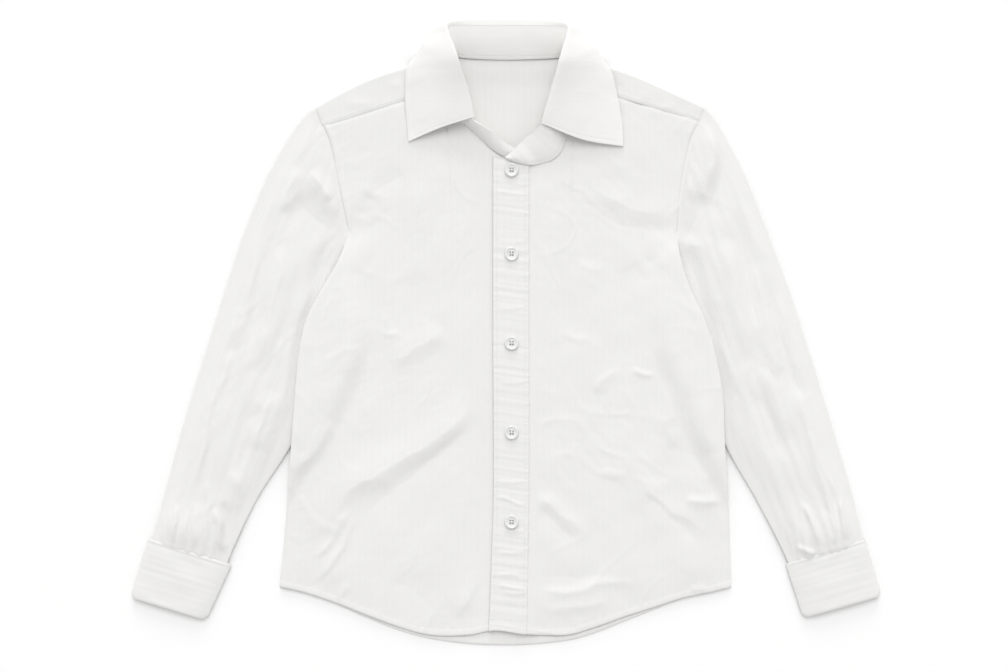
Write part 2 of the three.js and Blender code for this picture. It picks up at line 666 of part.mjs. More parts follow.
// A point of the wearer's left front: the strip under the placket, then the panel.
function leftFrontPlan() {
  const neckColumns = 5;
  const seamColumns = 7;
  const columns = PLACKET_COLUMNS + neckColumns + seamColumns;
  const seam = YOKE_SEAM.left;
  const sewnTop = [placketX.sewn(PLACKET_TOP_LEFT_Y), PLACKET_TOP_LEFT_Y];
  const sewnHemX = PLACKET_ROWS[0][2];
  const neck = throughPoints([sewnTop, ...NECK_LEFT.slice().reverse(), [seam.neckX, seam.neckY]]);
  const panelColumns = neckColumns + seamColumns;
  const top = (u) => {
    const at = u * panelColumns;
    if (at <= neckColumns) return neck(at / neckColumns);
    const t = (at - neckColumns) / seamColumns;
    return [lerp(seam.neckX, seam.armX, t), lerp(seam.neckY, seam.armY, t)];
  };
  const hem = (u) => {
    const x = lerp(sewnHemX, SIDE_ROWS[0][2], u);
    return [x, frontHemY(x)];
  };
  const stripPoint = (t, v) => {
    const freeHemX = PLACKET_ROWS[0][1];
    const hemY = frontHemY(lerp(freeHemX, sewnHemX, t));
    const topY = lerp(PLACKET_TOP_RIGHT_Y, PLACKET_TOP_LEFT_Y, t);
    const y = lerp(hemY, topY, v);
    return [lerp(placketX.free(y), placketX.sewn(y), t), y];
  };
  const sewn = (v) => stripPoint(1, v);
  const side = sideEdge('left', frontHemY(SIDE_ROWS[0][2]), seam.armY, FRONT_SPLIT);
  const patch = coonsPatch(hem, top, sewn, side);
  const plan = (i, j) => {
    const v = j / FRONT_ROWS;
    if (i <= PLACKET_COLUMNS) return stripPoint(i / PLACKET_COLUMNS, v);
    return patch((i - PLACKET_COLUMNS) / panelColumns, v);
  };
  return { columns, plan };
}

const leftFront = leftFrontPlan();

function addLeftFront() {
  const face = (rise) => (i, j) => {
    const [x, y] = leftFront.plan(i, j);
    return [x, y, leftFrontUnder(x, y) + rise];
  };
  add('front_left', wall(leftFront.columns, FRONT_ROWS, face(CLOTH), face(0)), CLOTH_WHITE);
}

const placketTop = (x, y) => leftFrontUnder(x, y) + 2 * CLOTH + SEAM_GAP;

// The placket is made from the points of the front it is sewn on, moved out.
function addPlacket() {
  const face = (rise) => (i, j) => {
    const [x, y] = leftFront.plan(i, j);
    return [x, y, leftFrontUnder(x, y) + CLOTH + SEAM_GAP + rise];
  };
  add('placket', wall(PLACKET_COLUMNS, FRONT_ROWS, face(CLOTH), face(0)), CLOTH_WHITE);
}

// ---------------------------------------------------------------- sleeves and cuffs

const RING_POINTS = 16;

// Where step i of a flattened ring lies: 0..1 across it, and -1..1 below and above.
function ringStep(i) {
  const angle = 2 * Math.PI * i / RING_POINTS;
  const across = Math.sign(Math.cos(angle)) * Math.abs(Math.cos(angle)) ** 0.9;
  const height = Math.sign(Math.sin(angle)) * Math.abs(Math.sin(angle)) ** 0.45;
  return { across: (1 - across) / 2, height };
}

// An edge line and the inward direction of a flattened tube at 0..1 across it.
function insetAcross(at, across, inset) {
  const start = at(0);
  const end = at(1);
  const width = Math.hypot(end[0] - start[0], end[1] - start[1]);
  const share = inset / width;
  return at(lerp(share, 1 - share, across));
}

// A point of the cuff laid flat: u across it from the outer edge, v from its top down.
function cuffPoint(side, u, v) {
  const { topOut, topIn, endOut, endIn } = CUFF[side];
  return [0, 1].map((axis) => lerp(
    lerp(topOut[axis], endOut[axis], v),
    lerp(topIn[axis], endIn[axis], v),
    u,
  ));
}

function cuffShare(side, distance) {
  const { topOut, endOut } = CUFF[side];
  return distance / Math.hypot(endOut[0] - topOut[0], endOut[1] - topOut[1]);
}

function addSleeve(side) {
  const rows = 22;
  const table = SLEEVE_ROWS[side];
  const outward = side === 'right' ? -1 : 1;
  const tipY = 184.2;
  const insideCuff = 0.045;
  const wrist = (u) => cuffPoint(side, lerp(insideCuff, 1 - insideCuff, u), cuffShare(side, CUFF_LIP));
  const armhole = (u) => {
    const y = lerp(tipY, UNDERARM_Y + 0.4, u);
    return [armholeX[side](y) + outward * (SEAM_GAP + CHORD_ROOM), y];
  };
  const outer = throughPoints([armhole(0), ...table.map((row) => [row[0], row[1]]), wrist(0)]);
  const inner = throughPoints([armhole(1), ...table.map((row) => [row[2], row[3]]), wrist(1)]);
  const height = throughPoints([[3.6], ...table.map((row) => [row[4]]), [2.8]]);
  const patch = coonsPatch(armhole, wrist, outer, inner);
  const folds = side === 'right' ? FOLDS_RIGHT_SLEEVE : FOLDS_LEFT_SLEEVE;
  const cuffRise = CUFF_OUTER_WALL + 0.35;

  const face = (inset) => (i, j) => {
    const v = j / rows;
    const { across, height: up } = ringStep(i);
    const [x, y] = insetAcross((u) => patch(u, v), across, inset);
    const half = height(v)[0] / 2;
    const base = cuffRise * smooth((v - 0.8) / 0.1);
    const wallHalf = half - inset;
    let z = base + half + up * wallHalf;
    if (up > 0) {
      const room = Math.max(0, 2 * half - 2 * CLOTH - LAYER_GAP);
      const middle = Math.min(1, 6 * across * (1 - across)) * smooth((0.86 - v) / 0.08);
      const body = smooth(outward * (x - sideX[side](Math.min(y, UNDERARM_Y))) / 10);
      const fold = foldRelief(folds, x, y) * middle * body * up;
      z += Math.max(-room, fold);
    }
    return [x, y, z];
  };
  add(`sleeve_${side}`, wall(RING_POINTS, rows, face(0), face(CLOTH), { ring: true }), CLOTH_WHITE);
}

// A cuff turned up on itself: a ring whose section runs down the outside, round the
// fold at the wrist end, and up the inside to where the sleeve is sewn in.
function addCuff(side) {
  const lip = cuffShare(side, CUFF_LIP + 0.6);
  const profile = [
    [0, 0], [0.3, 0], [0.6, 0], [0.88, 0], [0.985, 0.3], [1, 1.1],
    [0.985, 1.9], [0.88, CUFF_WALL], [0.55, CUFF_WALL], [lip, CUFF_WALL],
    [lip, CUFF_OUTER_WALL], [0, CUFF_OUTER_WALL],
  ];
  const half = CUFF_HEIGHT / 2;
  const at = (v) => (u) => cuffPoint(side, u, v);
  const positions = [];
  const triangles = [];
  for (let i = 0; i < RING_POINTS; i += 1) {
    const { across, height: up } = ringStep(i);
    for (const [v, inset] of profile) {
      const round = 2.2 * smooth((v - 0.9) / 0.1);
      const [x, y] = insetAcross(at(v), across, inset + round * Math.abs(2 * across - 1) ** 3);
      positions.push(x, y, half + up * (half - inset));
    }
  }
  const count = profile.length;
  for (let i = 0; i < RING_POINTS; i += 1) {
    const next = (i + 1) % RING_POINTS;
    for (let k = 0; k < count; k += 1) {
      const after = (k + 1) % count;
      const corners = [i * count + k, next * count + k, next * count + after, i * count + after];
      triangles.push(corners[0], corners[1], corners[2], corners[0], corners[2], corners[3]);
    }
  }
  add(`cuff_${side}`, closedGeometry(positions, triangles), CLOTH_WHITE);
}

// ---------------------------------------------------------------- collar

const stripTop = (x, y) => backTop(x, y) + slack(x, y) + CLOTH;
const TOP_OF = {
  front_right: (x, y) => rightFrontUnder(x, y) + CLOTH,
  front_left: (x, y) => leftFrontUnder(x, y) + CLOTH,
  placket: placketTop,
  yoke: backTop,
  yoke_strip: stripTop,
};

// The lower edge of the stand lies a seam's gap above the piece that it is sewn to.
const standSeam = throughPoints(STAND_ROWS.map(([x, y, sewnTo, topX, topY, topZ]) => {
  const under = TOP_OF[sewnTo](x, y);
  const plan = Math.hypot(topX - x, topY - y);
  const flatness = plan / Math.hypot(plan, topZ - under);
  return [x, y, under + SEAM_GAP + CHORD_ROOM + flatness * STAND_WALL / 2];
}));
const standTop = throughPoints(STAND_ROWS.map((row) => row.slice(3, 6)));
const STAND_LAST = STAND_ROWS.length - 1;

function addCollarStand() {
  const columns = 44;
  const rows = 2;
  const middleAt = (i, j) => {
    const seam = standSeam(i / columns);
    const top = standTop(i / columns);
    const t = j / rows;
    const bow = 1.2 * Math.sin(Math.PI * t);
    return [lerp(seam[0], top[0], t), lerp(seam[1], top[1], t), lerp(seam[2], top[2], t) + bow];
  };
  const [outer, inner] = ribbonFaces(columns, rows, middleAt, STAND_WALL);
  add('collar_stand', wall(columns, rows, outer, inner), COLLAR_WHITE);
}

// The leaf starts just past the top edge of the stand, rolls over and falls outside it.
function addCollarLeaf() {
  const columns = 40;
  const rows = 6;
  const first = LEAF_ROWS[0][0];
  const last = LEAF_ROWS[LEAF_ROWS.length - 1][0];
  const roll = throughPoints(LEAF_ROWS.map((row) => row.slice(1, 4)));
  const middle = throughPoints(LEAF_ROWS.map((row) => row.slice(4, 7)));
  const edge = throughPoints(LEAF_ROWS.map((row) => row.slice(7, 10)));
  const middleAt = (i, j) => {
    const t = i / columns;
    const onStand = lerp(first, last, t) / STAND_LAST;
    const seam = new THREE.Vector3(...standSeam(onStand));
    const top = new THREE.Vector3(...standTop(onStand));
    const up = top.clone().sub(seam).normalize();
    const start = top.addScaledVector(up, LEAF_START).toArray();
    return throughPoints([start, roll(t), middle(t), edge(t)])(j / rows);
  };
  const [outer, inner] = ribbonFaces(columns, rows, middleAt, LEAF_WALL);
  add('collar_leaf', wall(columns, rows, outer, inner), COLLAR_WHITE);
}

// ---------------------------------------------------------------- buttons

const toManifold = (geometry) => {
  const bare = geometry.clone();
  bare.deleteAttribute('normal');
  bare.deleteAttribute('uv');
  const merged = mergeVertices(bare, 1e-4);
  return new wasm.Manifold(new wasm.Mesh({
    numProp: 3,
    vertProperties: new Float32Array(merged.attributes.position.array),
    triVerts: new Uint32Array(merged.index.array),
  }));
};

const fromManifold = (solid) => {
  const mesh = solid.getMesh();
  const geometry = new THREE.BufferGeometry();
  geometry.setAttribute('position', new THREE.BufferAttribute(mesh.vertProperties, 3));
  geometry.setIndex(new THREE.BufferAttribute(mesh.triVerts, 1));
  geometry.computeVertexNormals();
  return geometry;
};

// A four-hole button: a disc with a raised rim and a shallow dish.
function buttonGeometry() {
  const radius = BUTTON.diameter / 2;
  const profile = [
    [0, 0], [radius - 0.7, 0], [radius, 0.8], [radius, BUTTON.thickness - 0.6],
    [radius - 0.7, BUTTON.thickness], [radius - BUTTON.rim, BUTTON.thickness],
    [radius - BUTTON.rim - 0.8, BUTTON.thickness - BUTTON.dish], [0, BUTTON.thickness - BUTTON.dish],
  ].map(([r, z]) => new THREE.Vector2(r, z));
  const disc = new THREE.LatheGeometry(profile, 16).rotateX(Math.PI / 2);
  let solid = toManifold(disc);
  for (let k = 0; k < 4; k += 1) {
    const angle = Math.PI / 4 + k * Math.PI / 2;
    const hole = new THREE.CylinderGeometry(BUTTON.hole / 2, BUTTON.hole / 2, 8, 6).rotateX(Math.PI / 2);
    hole.translate(Math.cos(angle) * BUTTON.spread / 2, Math.sin(angle) * BUTTON.spread / 2, 0);
    solid = solid.subtract(toManifold(hole));
  }
  return fromManifold(solid);
}

function addButtons() {
  for (let k = 0; k < BUTTON_COUNT; k += 1) {
    const y = k === 0 ? BUTTON_TOP_Y : BUTTON_SECOND_Y - (k - 1) * BUTTON_PITCH;
    const geometry = buttonGeometry();
    geometry.translate(BUTTON_X, y, placketTop(BUTTON_X, y) + SEAM_GAP);
    add(`button_${k + 1}`, geometry, BUTTON_WHITE);
  }
}

// ---------------------------------------------------------------- the shirt

addBackBody();
addYoke();
addRightFront();
addLeftFront();
addPlacket();
for (const side of ['right', 'left']) {
  addSleeve(side);
  addCuff(side);
}
addCollarStand();
addCollarLeaf();
addButtons();

export default group;
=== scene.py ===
"""A child's button-up shirt laid flat on its back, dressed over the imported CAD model.

Sizes are millimetres until a mesh is made. +X is the wearer's left, +Y the collar, +Z up.
Shares run from 0 to 1, headings and other angles in tables are degrees.
The laid form is worked out as in the part's own source: the same outlines, layers and
collar rows, with finer creases, hems, seams and stitches.
"""
import math

import bpy
import numpy as np
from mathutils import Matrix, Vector


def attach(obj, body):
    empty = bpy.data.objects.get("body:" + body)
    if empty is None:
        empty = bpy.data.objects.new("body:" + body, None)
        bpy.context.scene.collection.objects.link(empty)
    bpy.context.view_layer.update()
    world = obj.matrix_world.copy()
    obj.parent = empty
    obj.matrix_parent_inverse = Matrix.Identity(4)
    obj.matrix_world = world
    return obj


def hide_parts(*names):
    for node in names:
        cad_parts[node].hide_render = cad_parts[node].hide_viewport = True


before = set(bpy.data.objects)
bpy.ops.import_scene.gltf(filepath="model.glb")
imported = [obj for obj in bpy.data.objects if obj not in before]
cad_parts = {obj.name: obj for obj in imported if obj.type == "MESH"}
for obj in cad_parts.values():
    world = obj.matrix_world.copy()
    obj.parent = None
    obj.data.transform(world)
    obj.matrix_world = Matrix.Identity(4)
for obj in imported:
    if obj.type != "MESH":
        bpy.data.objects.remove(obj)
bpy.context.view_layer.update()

MM = 0.001

# ---------------------------------------------------------------- driving sizes

CLOTH = 1.0               # the CAD wall whose top the shirting follows
SHELL = 0.6               # the shirting's own thickness
BACK_SHELL = 0.68         # and of the back, which lies on the table
PLACKET_SHELL = 0.7       # and of the placket
STAND_WALL = 1.4          # the CAD collar stand's wall
LEAF_START = 1.5          # from the stand's top edge up to where the leaf starts
SEAM_GAP = 0.3            # air between two pieces that are sewn together
LAYER_GAP = 0.35          # least air between two layers that lie on each other
SLACK = 1.6               # air between the back and the fronts
BODY_CROWN = {"rise": 0.5, "width": 420, "length": 560}   # more of it in the very middle
LEAST_AIR = 0.6           # what is left of it at the sides, the hem and the neck
BRIDGE_AIR = 1.4          # more of it where a front bridges the step onto a tucked sleeve
SIDE_EASE = 35            # from a side to the full air
HEM_EASE = 30             # from the hem to the full air
UNDERARM_Y = 82
BACK_YOKE_SEAM_Y = 145
NECK_END_RIGHT_X = -50    # the inner ends of the shoulder folds
NECK_END_LEFT_X = 56.5
PANEL_CENTRE_RIGHT_X = 18   # how far the right front runs on under the placket
PLACKET_WIDTH = 29.5
PLACKET_STITCH = 3.0      # from each long edge to its stitching
OUTWARD = {"right": -1, "left": 1}   # the way along X from the middle to a side

# spread is the circle that the four holes' middles lie on
BUTTON = {"diameter": 11.4, "thickness": 2.4, "rim": 1.5, "dish": 0.7, "hole": 1.5, "spread": 2.9}
BUTTON_X = 5
BUTTON_TOP_Y = 132.6
BUTTON_SECOND_Y = 64
BUTTON_PITCH = 73.1
BUTTON_COUNT = 5

HEM_BAND = 5.4            # from the hem's edge to its stitching
HEM_SHARE = 0.96          # a hem's distance over its height in Y, for its slope
STITCH_PITCH = 2.5
STITCH = {"length": 1.9, "width": 0.5, "rise": 0.22}

# ---------------------------------------------------------------- outline tables

# y, wearer's right x, wearer's left x
SIDE_ROWS = [
    (-208.7, -184.9, 184.9), (-142.7, -178.8, 182.4), (-88.6, -175.1, 179.4),
    (-52.5, -172.4, 177.9), (-16.4, -168.9, 171.4), (9.8, -163.0, 163.2),
    (34.4, -150.9, 151.8), (57.4, -137.3, 144.1), (UNDERARM_Y, -127.9, 139.6),
]
ARMHOLE_ROWS = [
    (UNDERARM_Y, -127.9, 139.6), (118.9, -135.3, 143.1), (155.8, -143.1, 150.1),
    (172, -149.8, 157.0), (184.5, -155.0, 162.3),
]
# x, y of the front hem, y of the longer back hem
HEM_ROWS = [
    (-184.9, -208.7, -208.9), (-165.2, -213.2, -213.6), (-138.2, -222.2, -223.4),
    (-111.1, -232.9, -235.0), (-84.0, -242.7, -245.4), (-60.0, -248.4, -251.4),
    (-30.0, -248.2, -255.4), (-8.0, -244.4, -256.4), (15.0, -247.4, -256.2),
    (49.6, -248.2, -252.8), (70.9, -242.7, -247.3), (96.3, -233.7, -237.4),
    (121.8, -225.5, -227.4), (145.0, -218.0, -218.6), (168.5, -213.0, -213.2),
    (184.9, -208.9, -209.1),
]
# x, y of the shoulder folds and of the neck seam between them
YOKE_TOP_ROWS = [
    (-155.0, 184.5), (-127.5, 199.7), (-105.4, 209.4), (-80.0, 217.4),
    (NECK_END_RIGHT_X, 226.2), (-30.0, 225.6), (3.0, 225.0), (36.0, 225.4),
    (NECK_END_LEFT_X, 226.0), (80.8, 218.6), (107.0, 209.4), (129.2, 199.7),
    (162.3, 184.5),
]
# armhole end x y, neck end x y of the yoke's two front seams
YOKE_SEAM = {
    "right": (-148.7, 169.3, NECK_END_RIGHT_X, 200.0),
    "left": (157.6, 173.5, NECK_END_LEFT_X, 203.5),
}
NECK_RIGHT = [
    (-51.0, 193.0), (-45.5, 182.0), (-37.5, 173.5), (-29.0, 165.6),
    (-20.5, 157.4), (-11.5, 149.0), (-2.0, 143.0), (8.0, 140.9),
]
NECK_RIGHT_END = (PANEL_CENTRE_RIGHT_X, 140.2)
NECK_LEFT = [
    (59.4, 193.0), (56.6, 180.0), (51.4, 166.0), (47.4, 154.0),
    (43.6, 146.2), (36.5, 140.8), (28.0, 138.0),
]
PLACKET_TOP_LEFT_Y = 137.0
PLACKET_TOP_RIGHT_Y = 143.0
# y, x of the free edge, x of the sewn edge
PLACKET_ROWS = [
    (-247.0, -13.8, 17.4), (-190.0, -11.6, 18.4), (-130.0, -9.8, 19.3),
    (0.0, -10.2, 19.3), (145.0, -10.2, 19.3),
]
# outer edge x y, inner edge x y, thickness laid flat
SLEEVE_ROWS = {
    "right": [
        (-169.3, 170.8, -133.0, 72.0, 3.7), (-193.1, 131.2, -140.2, 57.6, 4.0),
        (-213.6, 82.0, -144.4, 44.0, 4.2), (-229.9, 33.0, -139.6, 10.0, 4.2),
        (-242.3, -6.6, -141.6, -20.0, 4.2), (-254.2, -45.0, -153.8, -52.5, 4.2),
        (-266.3, -85.0, -176.4, -94.3, 4.2), (-276.8, -124.6, -202.6, -135.0, 3.8),
        (-285.6, -158.0, -220.8, -172.0, 2.9),
    ],
    "left": [
        (172.8, 172.0, 142.6, 72.0, 3.7), (194.8, 131.2, 146.4, 57.6, 4.0),
        (214.4, 82.0, 149.6, 44.0, 4.2), (232.6, 33.0, 146.6, 10.0, 4.2),
        (245.6, -6.6, 151.0, -20.0, 4.2), (257.6, -45.0, 164.4, -52.5, 4.2),
        (269.8, -85.0, 181.0, -94.3, 4.2), (281.7, -124.6, 205.4, -137.0, 3.8),
        (289.6, -158.0, 224.6, -173.6, 2.9),
    ],
}
# corners of the turned-up band: top outer, top inner, end outer, end inner
CUFF = {
    "right": ((-292.4, -168.8), (-224.4, -190.4), (-307.4, -217.4), (-245.2, -236.2)),
    "left": ((294.6, -169.4), (229.6, -189.8), (308.2, -216.2), (244.0, -234.4)),
}
CUFF_HEIGHT = 6.0
CUFF_OUTER_WALL = 1.2
CUFF_WALL = 2.2
CUFF_LIP = 9

# ---------------------------------------------------------------- collar tables

# neck seam x y, what it is sewn to, top edge x y z
STAND_ROWS = [
    (13.0, 142.6, "front_right", 13.4, 147.0, 4.0),
    (7.0, 142.2, "front_right", 6.6, 150.0, 4.8),
    (-2.0, 144.6, "front_right", -1.0, 155.0, 7.6),
    (-11.0, 150.6, "front_right", -9.6, 161.8, 10.8),
    (-20.0, 159.0, "front_right", -19.4, 168.0, 13.0),
    (-29.0, 167.0, "front_right", -28.6, 174.2, 14.2),
    (-38.5, 174.6, "front_right", -31.4, 182.4, 14.8),
    (-47.0, 184.0, "front_right", -33.8, 192.0, 15.6),
    (-51.8, 195.0, "front_right", -36.6, 201.8, 17.0),
    (-51.8, 207.0, "yoke_strip", -40.0, 211.4, 18.8),
    (-50.8, 217.6, "yoke_strip", -42.6, 221.2, 20.0),
    (-46.2, 224.8, "yoke_strip", -44.0, 231.2, 17.8),
    (-41.6, 225.6, "yoke", -46.4, 241.0, 13.4),
    (-33.6, 224.8, "yoke", -43.4, 248.4, 10.2),
    (-17.0, 224.0, "yoke", -22.0, 249.0, 9.2),
    (3.0, 223.6, "yoke", 1.6, 249.0, 9.0),
    (22.0, 224.0, "yoke", 25.0, 248.8, 9.2),
    (39.0, 224.6, "yoke", 46.8, 247.6, 10.2),
    (46.6, 225.2, "yoke", 50.0, 240.6, 13.4),
    (51.8, 224.4, "yoke_strip", 48.4, 231.0, 17.8),
    (57.4, 217.4, "yoke_strip", 44.8, 220.8, 20.0),
    (58.8, 206.4, "yoke_strip", 42.0, 209.6, 18.8),
    (59.8, 194.4, "front_left", 38.8, 198.6, 17.0),
    (57.0, 181.4, "front_left", 35.8, 187.4, 15.6),
    (52.4, 168.6, "front_left", 33.0, 177.2, 14.2),
    (48.4, 157.0, "front_left", 30.8, 168.8, 12.6),
    (44.4, 147.4, "front_left", 26.2, 163.6, 11.2),
    (37.6, 141.4, "front_left", 20.4, 159.2, 10.0),
    (28.4, 138.4, "front_left", 14.4, 154.4, 9.2),
    (19.4, 137.0, "placket", 8.8, 149.4, 8.8),
    (9.6, 138.8, "placket", 3.6, 145.2, 8.0),
    (2.0, 141.2, "placket", -0.2, 142.6, 7.6),
]
# stand row, roll x y z, middle x y z, outer edge x y z
LEAF_ROWS = [
    (5, -26.8, 174.6, 16.2, -53.0, 166.6, 10.6, -79.4, 155.6, 5.2),
    (6, -28.8, 182.8, 16.8, -56.0, 177.0, 11.2, -80.4, 168.6, 5.2),
    (7, -31.2, 192.4, 17.8, -58.0, 189.0, 11.8, -81.6, 183.0, 5.2),
    (8, -33.8, 202.2, 19.4, -60.0, 200.6, 12.4, -82.0, 196.4, 5.4),
    (9, -36.8, 211.8, 21.8, -62.0, 211.8, 13.0, -81.8, 207.4, 6.2),
    (10, -39.8, 221.6, 23.2, -64.0, 222.8, 12.6, -79.8, 217.8, 5.6),
    (11, -43.4, 232.0, 20.6, -66.0, 233.2, 9.6, -74.0, 225.4, 2.4),
    (12, -47.6, 243.4, 15.4, -63.4, 240.2, 6.0, -63.0, 229.0, 0.7),
    (13, -47.4, 252.6, 11.2, -52.0, 249.6, 4.0, -46.0, 226.6, 0.65),
    (14, -24.0, 255.8, 7.9, -24.0, 246.0, 2.4, -22.0, 222.6, 0.65),
    (15, 1.6, 255.9, 7.7, 1.6, 246.0, 2.4, 2.0, 222.0, 0.65),
    (16, 27.0, 255.6, 7.9, 27.0, 245.8, 2.4, 26.0, 222.6, 0.65),
    (17, 51.0, 251.4, 11.2, 56.0, 248.0, 4.0, 50.0, 226.6, 0.65),
    (18, 51.8, 243.0, 15.4, 68.0, 238.6, 6.0, 68.0, 227.0, 0.7),
    (19, 49.0, 231.6, 20.6, 72.0, 231.2, 9.6, 78.4, 224.0, 2.4),
    (20, 47.0, 221.0, 23.2, 70.4, 221.4, 12.6, 84.2, 217.0, 5.6),
    (21, 44.2, 209.8, 21.8, 68.4, 210.4, 13.0, 88.0, 208.0, 6.2),
    (22, 41.4, 198.8, 19.4, 66.8, 198.4, 12.4, 91.0, 195.4, 5.4),
    (23, 38.2, 187.4, 17.8, 66.0, 185.4, 11.8, 93.8, 182.4, 5.2),
    (24, 35.2, 177.0, 16.4, 65.4, 171.4, 11.2, 95.8, 167.6, 5.2),
    (25, 33.0, 168.4, 14.8, 63.6, 156.8, 10.2, 96.4, 151.8, 5.2),
]

# ---------------------------------------------------------------- creases

# rise, width to the right of the way along it, width to the left, points x y
CREASES_RIGHT_FRONT = [
    (2.3, 15, 8, [
        (-16, -56), (-32, -66), (-46, -80), (-63, -93), (-86, -105),
        (-104, -118), (-123, -125), (-138, -144), (-158, -175),
    ]),
    (-1.0, 6, 12, [(-14, -67), (-41, -89), (-70, -113), (-99, -136), (-126, -154)]),
    (0.9, 5, 3, [(-126, -144), (-136, -160), (-147, -177), (-159, -184)]),
    (0.8, 4, 2.5, [(-125, -150), (-132, -173), (-144, -192), (-158, -208)]),
    (0.4, 3, 2, [(-128, -206), (-133, -213), (-138, -221)]),
    (1.3, 12, 8, [(-49, 3), (-62, -7), (-77, -16), (-96, -28)]),
    (1.3, 9, 6, [(-142, -71), (-150, -89), (-162, -103), (-175, -116)]),
    (-0.9, 7, 9, [(-150, -52), (-155, -76), (-165, -97), (-177, -110)]),
    (0.9, 6, 6, [(-12, -192), (-23, -205), (-32, -220), (-41, -235)]),
    (0.8, 5, 5, [(-13, -207), (-18, -220), (-23, -233)]),
    (-0.9, 9, 9, [(-9, -187), (-17, -212), (-23, -240)]),
    (-0.9, 16, 12, [(-93, -202), (-75, -213), (-57, -230)]),
    (-0.9, 8, 8, [(-83, 130), (-91, 126), (-100, 121), (-105, 113)]),
    (-0.8, 8, 7, [(-108, 112), (-114, 103), (-118, 93)]),
    (0.7, 10, 10, [(-70, 125), (-72, 84), (-77, 34)]),
    (0.4, 3, 2.5, [(-103, 0), (-93, -2), (-83, -2)]),
    (0.5, 12, 10, [(-126, 26), (-123, -7), (-128, -39)]),
    (-0.5, 10, 10, [(-109, 2), (-108, -31), (-114, -60)]),
    (-0.7, 12, 10, [(-132, -154), (-144, -171), (-169, -187)]),
]
CREASES_LEFT_FRONT = [
    (0.7, 2.6, 2.0, [(103, -30), (109, -33), (115, -35), (123, -36)]),
    (0.6, 6, 4, [(74, -51), (77, -43), (84, -36), (94, -30)]),
    (1.2, 9, 7, [(23, -133), (33, -139), (43, -146), (53, -156), (71, -167)]),
    (-0.9, 8, 7, [(25, -142), (36, -151), (46, -162), (61, -171)]),
    (1.3, 12, 8, [(105, -112), (118, -130), (133, -144), (151, -154), (169, -171)]),
    (-1.0, 8, 10, [(110, -126), (127, -144), (146, -159), (164, -177)]),
    (0.9, 5, 4, [(146, -137), (159, -139), (178, -137)]),
    (0.7, 5, 4, [(22, -210), (38, -213), (59, -212), (77, -205), (92, -205), (110, -207)]),
    (-0.7, 9, 9, [(28, -197), (53, -202), (77, -198)]),
    (-1.0, 12, 11, [(146, -42), (150, -64), (150, -89), (158, -107), (166, -121)]),
    (0.8, 9, 9, [(133, -38), (135, -72), (138, -97)]),
    (0.8, 8, 8, [(162, -52), (164, -80), (169, -101)]),
    (-0.8, 11, 9, [(54, 108), (69, 104), (82, 95), (96, 87), (117, 84), (137, 84)]),
    (0.7, 10, 9, [(69, 118), (89, 108), (110, 98), (133, 97)]),
    (0.4, 5, 4, [(59, 56), (69, 52), (82, 50)]),
    (-0.5, 8, 8, [(102, 57), (110, 46), (122, 39)]),
    (0.4, 9, 8, [(137, 72), (133, 62), (127, 50)]),
    (-0.7, 7, 7, [(130, 75), (123, 62), (115, 54)]),
    (0.4, 4, 3, [(45, 2), (57, -5), (69, -7)]),
    (0.4, 4, 3, [(76, -113), (89, -116), (102, -115)]),
    (0.5, 3, 3, [(151, -212), (158, -210), (164, -213)]),
    (0.6, 6, 5, [(32, -228), (61, -225), (87, -220)]),
]
CREASES_RIGHT_SLEEVE = [
    (-1.2, 9, 8, [
        (-169, 172), (-178, 151), (-193, 125), (-205, 98), (-214, 71), (-221, 40), (-229, 10),
    ]),
    (1.0, 9, 8, [(-200, 82), (-206, 47), (-214, 11), (-223, -15)]),
    (-1.1, 7, 7, [(-192, 82), (-200, 51), (-205, 18), (-212, -25)]),
    (1.5, 9, 9, [(-180, 71), (-187, 34), (-195, 0), (-205, -33)]),
    (-2.2, 17, 13, [(-174, 110), (-163, 99), (-152, 90), (-141, 80)]),
    (-1.6, 9, 9, [(-137, 100), (-139, 85), (-146, 69), (-156, 40), (-162, 15)]),
    (0.9, 6, 5, [(-169, 134), (-177, 116), (-182, 97)]),
    (0.8, 7, 6, [(-159, 133), (-150, 118), (-141, 108)]),
    (0.8, 5, 3, [(-232, -30), (-241, -62), (-247, -97), (-253, -126)]),
    (0.5, 3, 2.5, [(-224, -16), (-229, -33), (-234, -54)]),
    (-1.0, 9, 8, [(-200, -59), (-210, -75), (-214, -98), (-215, -126)]),
    (0.8, 9, 8, [(-188, -48), (-200, -75), (-205, -98)]),
    (1.5, 2.8, 2.2, [(-239, -144), (-234, -157), (-233, -171), (-229, -181)]),
    (-1.3, 3, 3, [(-231, -138), (-228, -156), (-227, -175)]),
    (0.8, 2.2, 2, [(-269, -141), (-270, -157), (-272, -174)]),
    (0.5, 3.5, 3, [(-252, -138), (-252, -156), (-254, -177)]),
    (0.5, 3.5, 3, [(-244, -120), (-242, -142), (-244, -166)]),
    (0.6, 5, 4, [(-224, -113), (-218, -130), (-221, -150)]),
]
